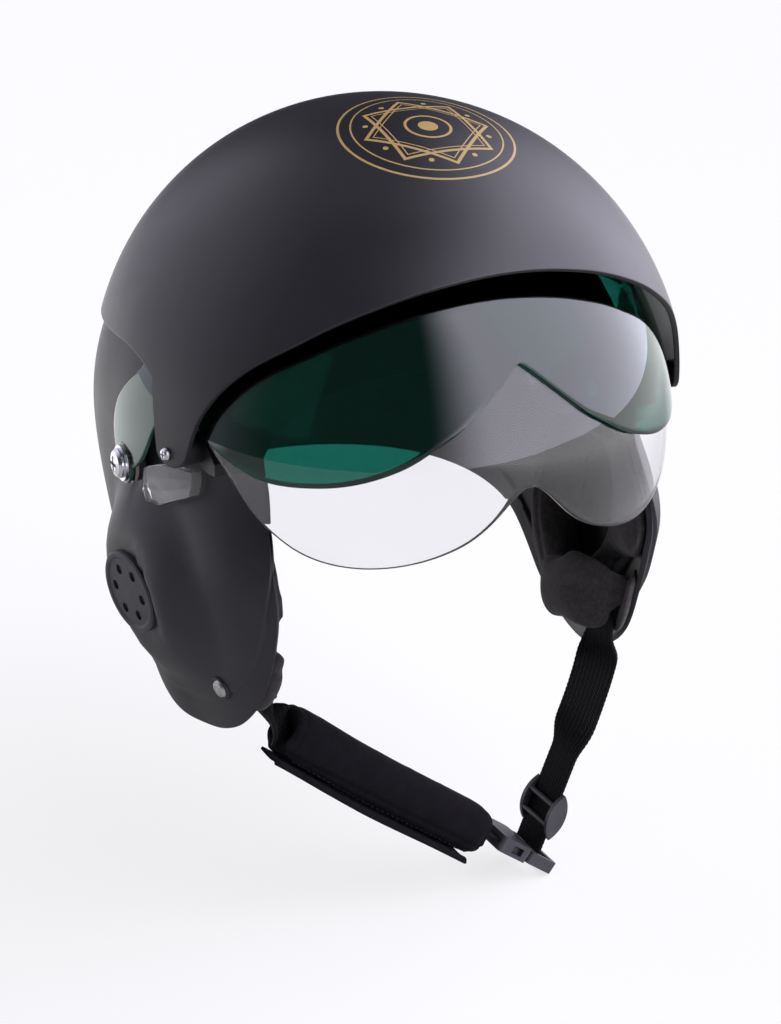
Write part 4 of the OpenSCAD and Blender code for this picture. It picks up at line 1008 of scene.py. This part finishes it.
share = link(floorPaint, "Math", {0: seenAny.outputs[0], 1: stage["floorWhite"]}, operation="MULTIPLY")
matt = link(floorPaint, "BsdfDiffuse", {"Color": colour(*[stage["floorGrey"]] * 3)})
white = link(floorPaint, "Emission", {"Color": colour(1, 1, 1), "Strength": inGloss.outputs[0]})
mixed = link(floorPaint, "MixShader", {0: share.outputs[0], 1: matt.outputs[0], 2: white.outputs[0]})
link(floorPaint, "OutputMaterial", {"Surface": mixed.outputs[0]})
floor.data.materials.append(floorPaint)

world = bpy.data.worlds.new("surround")
bpy.context.scene.world = world
world.use_nodes = True
world.node_tree.nodes.clear()


def worldNode(kind, sockets=None, **settings):
    return link(world, kind, sockets, **settings)


def worldStep(value, low, high, start, end):
    sockets = {"Value": value, "From Min": low, "From Max": high, "To Min": start, "To Max": end}
    return worldNode("MapRange", sockets, interpolation_type="SMOOTHSTEP").outputs["Result"]


def worldProduct(*factors):
    whole = factors[0]
    for factor in factors[1:]:
        whole = worldNode("Math", {0: whole, 1: factor}, operation="MULTIPLY").outputs[0]
    return whole


# Two soft panels of light in a dim room: a broad one on the helmet's left, a weaker one behind its right.
way = worldNode("SeparateXYZ", {0: worldNode("TexCoord").outputs["Generated"]})
minusY = worldNode("Math", {0: way.outputs["Y"], 1: -1.0}, operation="MULTIPLY").outputs[0]
bearing = worldNode("Math", {0: way.outputs["X"], 1: minusY}, operation="ARCTAN2").outputs[0]
turned = worldNode("Math", {0: bearing}, operation="ABSOLUTE").outputs[0]
high = way.outputs["Z"]
rightPanel = worldProduct(worldStep(bearing, -0.22, 0.30, 0, stage["rightGlow"]),
                          worldStep(bearing, 1.8, 2.5, 1, 0), worldStep(high, -0.4, -0.12, 0, 1),
                          worldStep(high, 0.80, 0.96, 1, 0))
leftPanel = worldProduct(worldStep(turned, 1.3, 2.3, 0, stage["leftGlow"]), worldStep(bearing, -0.6, 0.6, 1, 0),
                         worldStep(high, -0.4, -0.12, 0, 1), worldStep(high, 0.55, 0.95, 1, 0.3))
glowSum = worldNode("Math", {0: rightPanel, 1: leftPanel}, operation="ADD").outputs[0]
glowSum = worldNode("Math", {0: glowSum, 1: stage["dim"]}, operation="ADD").outputs[0]
seen = worldNode("LightPath")
cameraOrThrough = worldNode("Math", {0: seen.outputs["Is Camera Ray"], 1: seen.outputs["Is Transmission Ray"]},
                            operation="ADD", use_clamp=True).outputs[0]
strength = worldNode("Mix", {0: cameraOrThrough, 2: glowSum, 3: 1.0})
tint = worldNode("MixRGB", {"Fac": cameraOrThrough, "Color1": colour(*stage["tint"]),
                            "Color2": colour(1, 1, 1)})
glow = worldNode("Background", {"Color": tint.outputs["Color"], "Strength": strength.outputs[0]})
worldNode("OutputWorld", {"Surface": glow.outputs[0]})

for lamp in stage["lamps"]:
    clearSelection()
    bpy.ops.object.light_add(type="AREA", location=lamp["place"])
    light = bpy.context.object
    light.name = lamp["name"]
    light.data.shape = "RECTANGLE"
    light.data.size, light.data.size_y = lamp["size"]
    light.data.energy = lamp["power"]
    light.visible_glossy = False
    light.rotation_mode = "QUATERNION"
    light.rotation_quaternion = Vector(lamp["place"]).to_track_quat("Z", "Y")

bpy.context.scene.view_settings.view_transform = "Standard"
print("helmet: stage and lights")
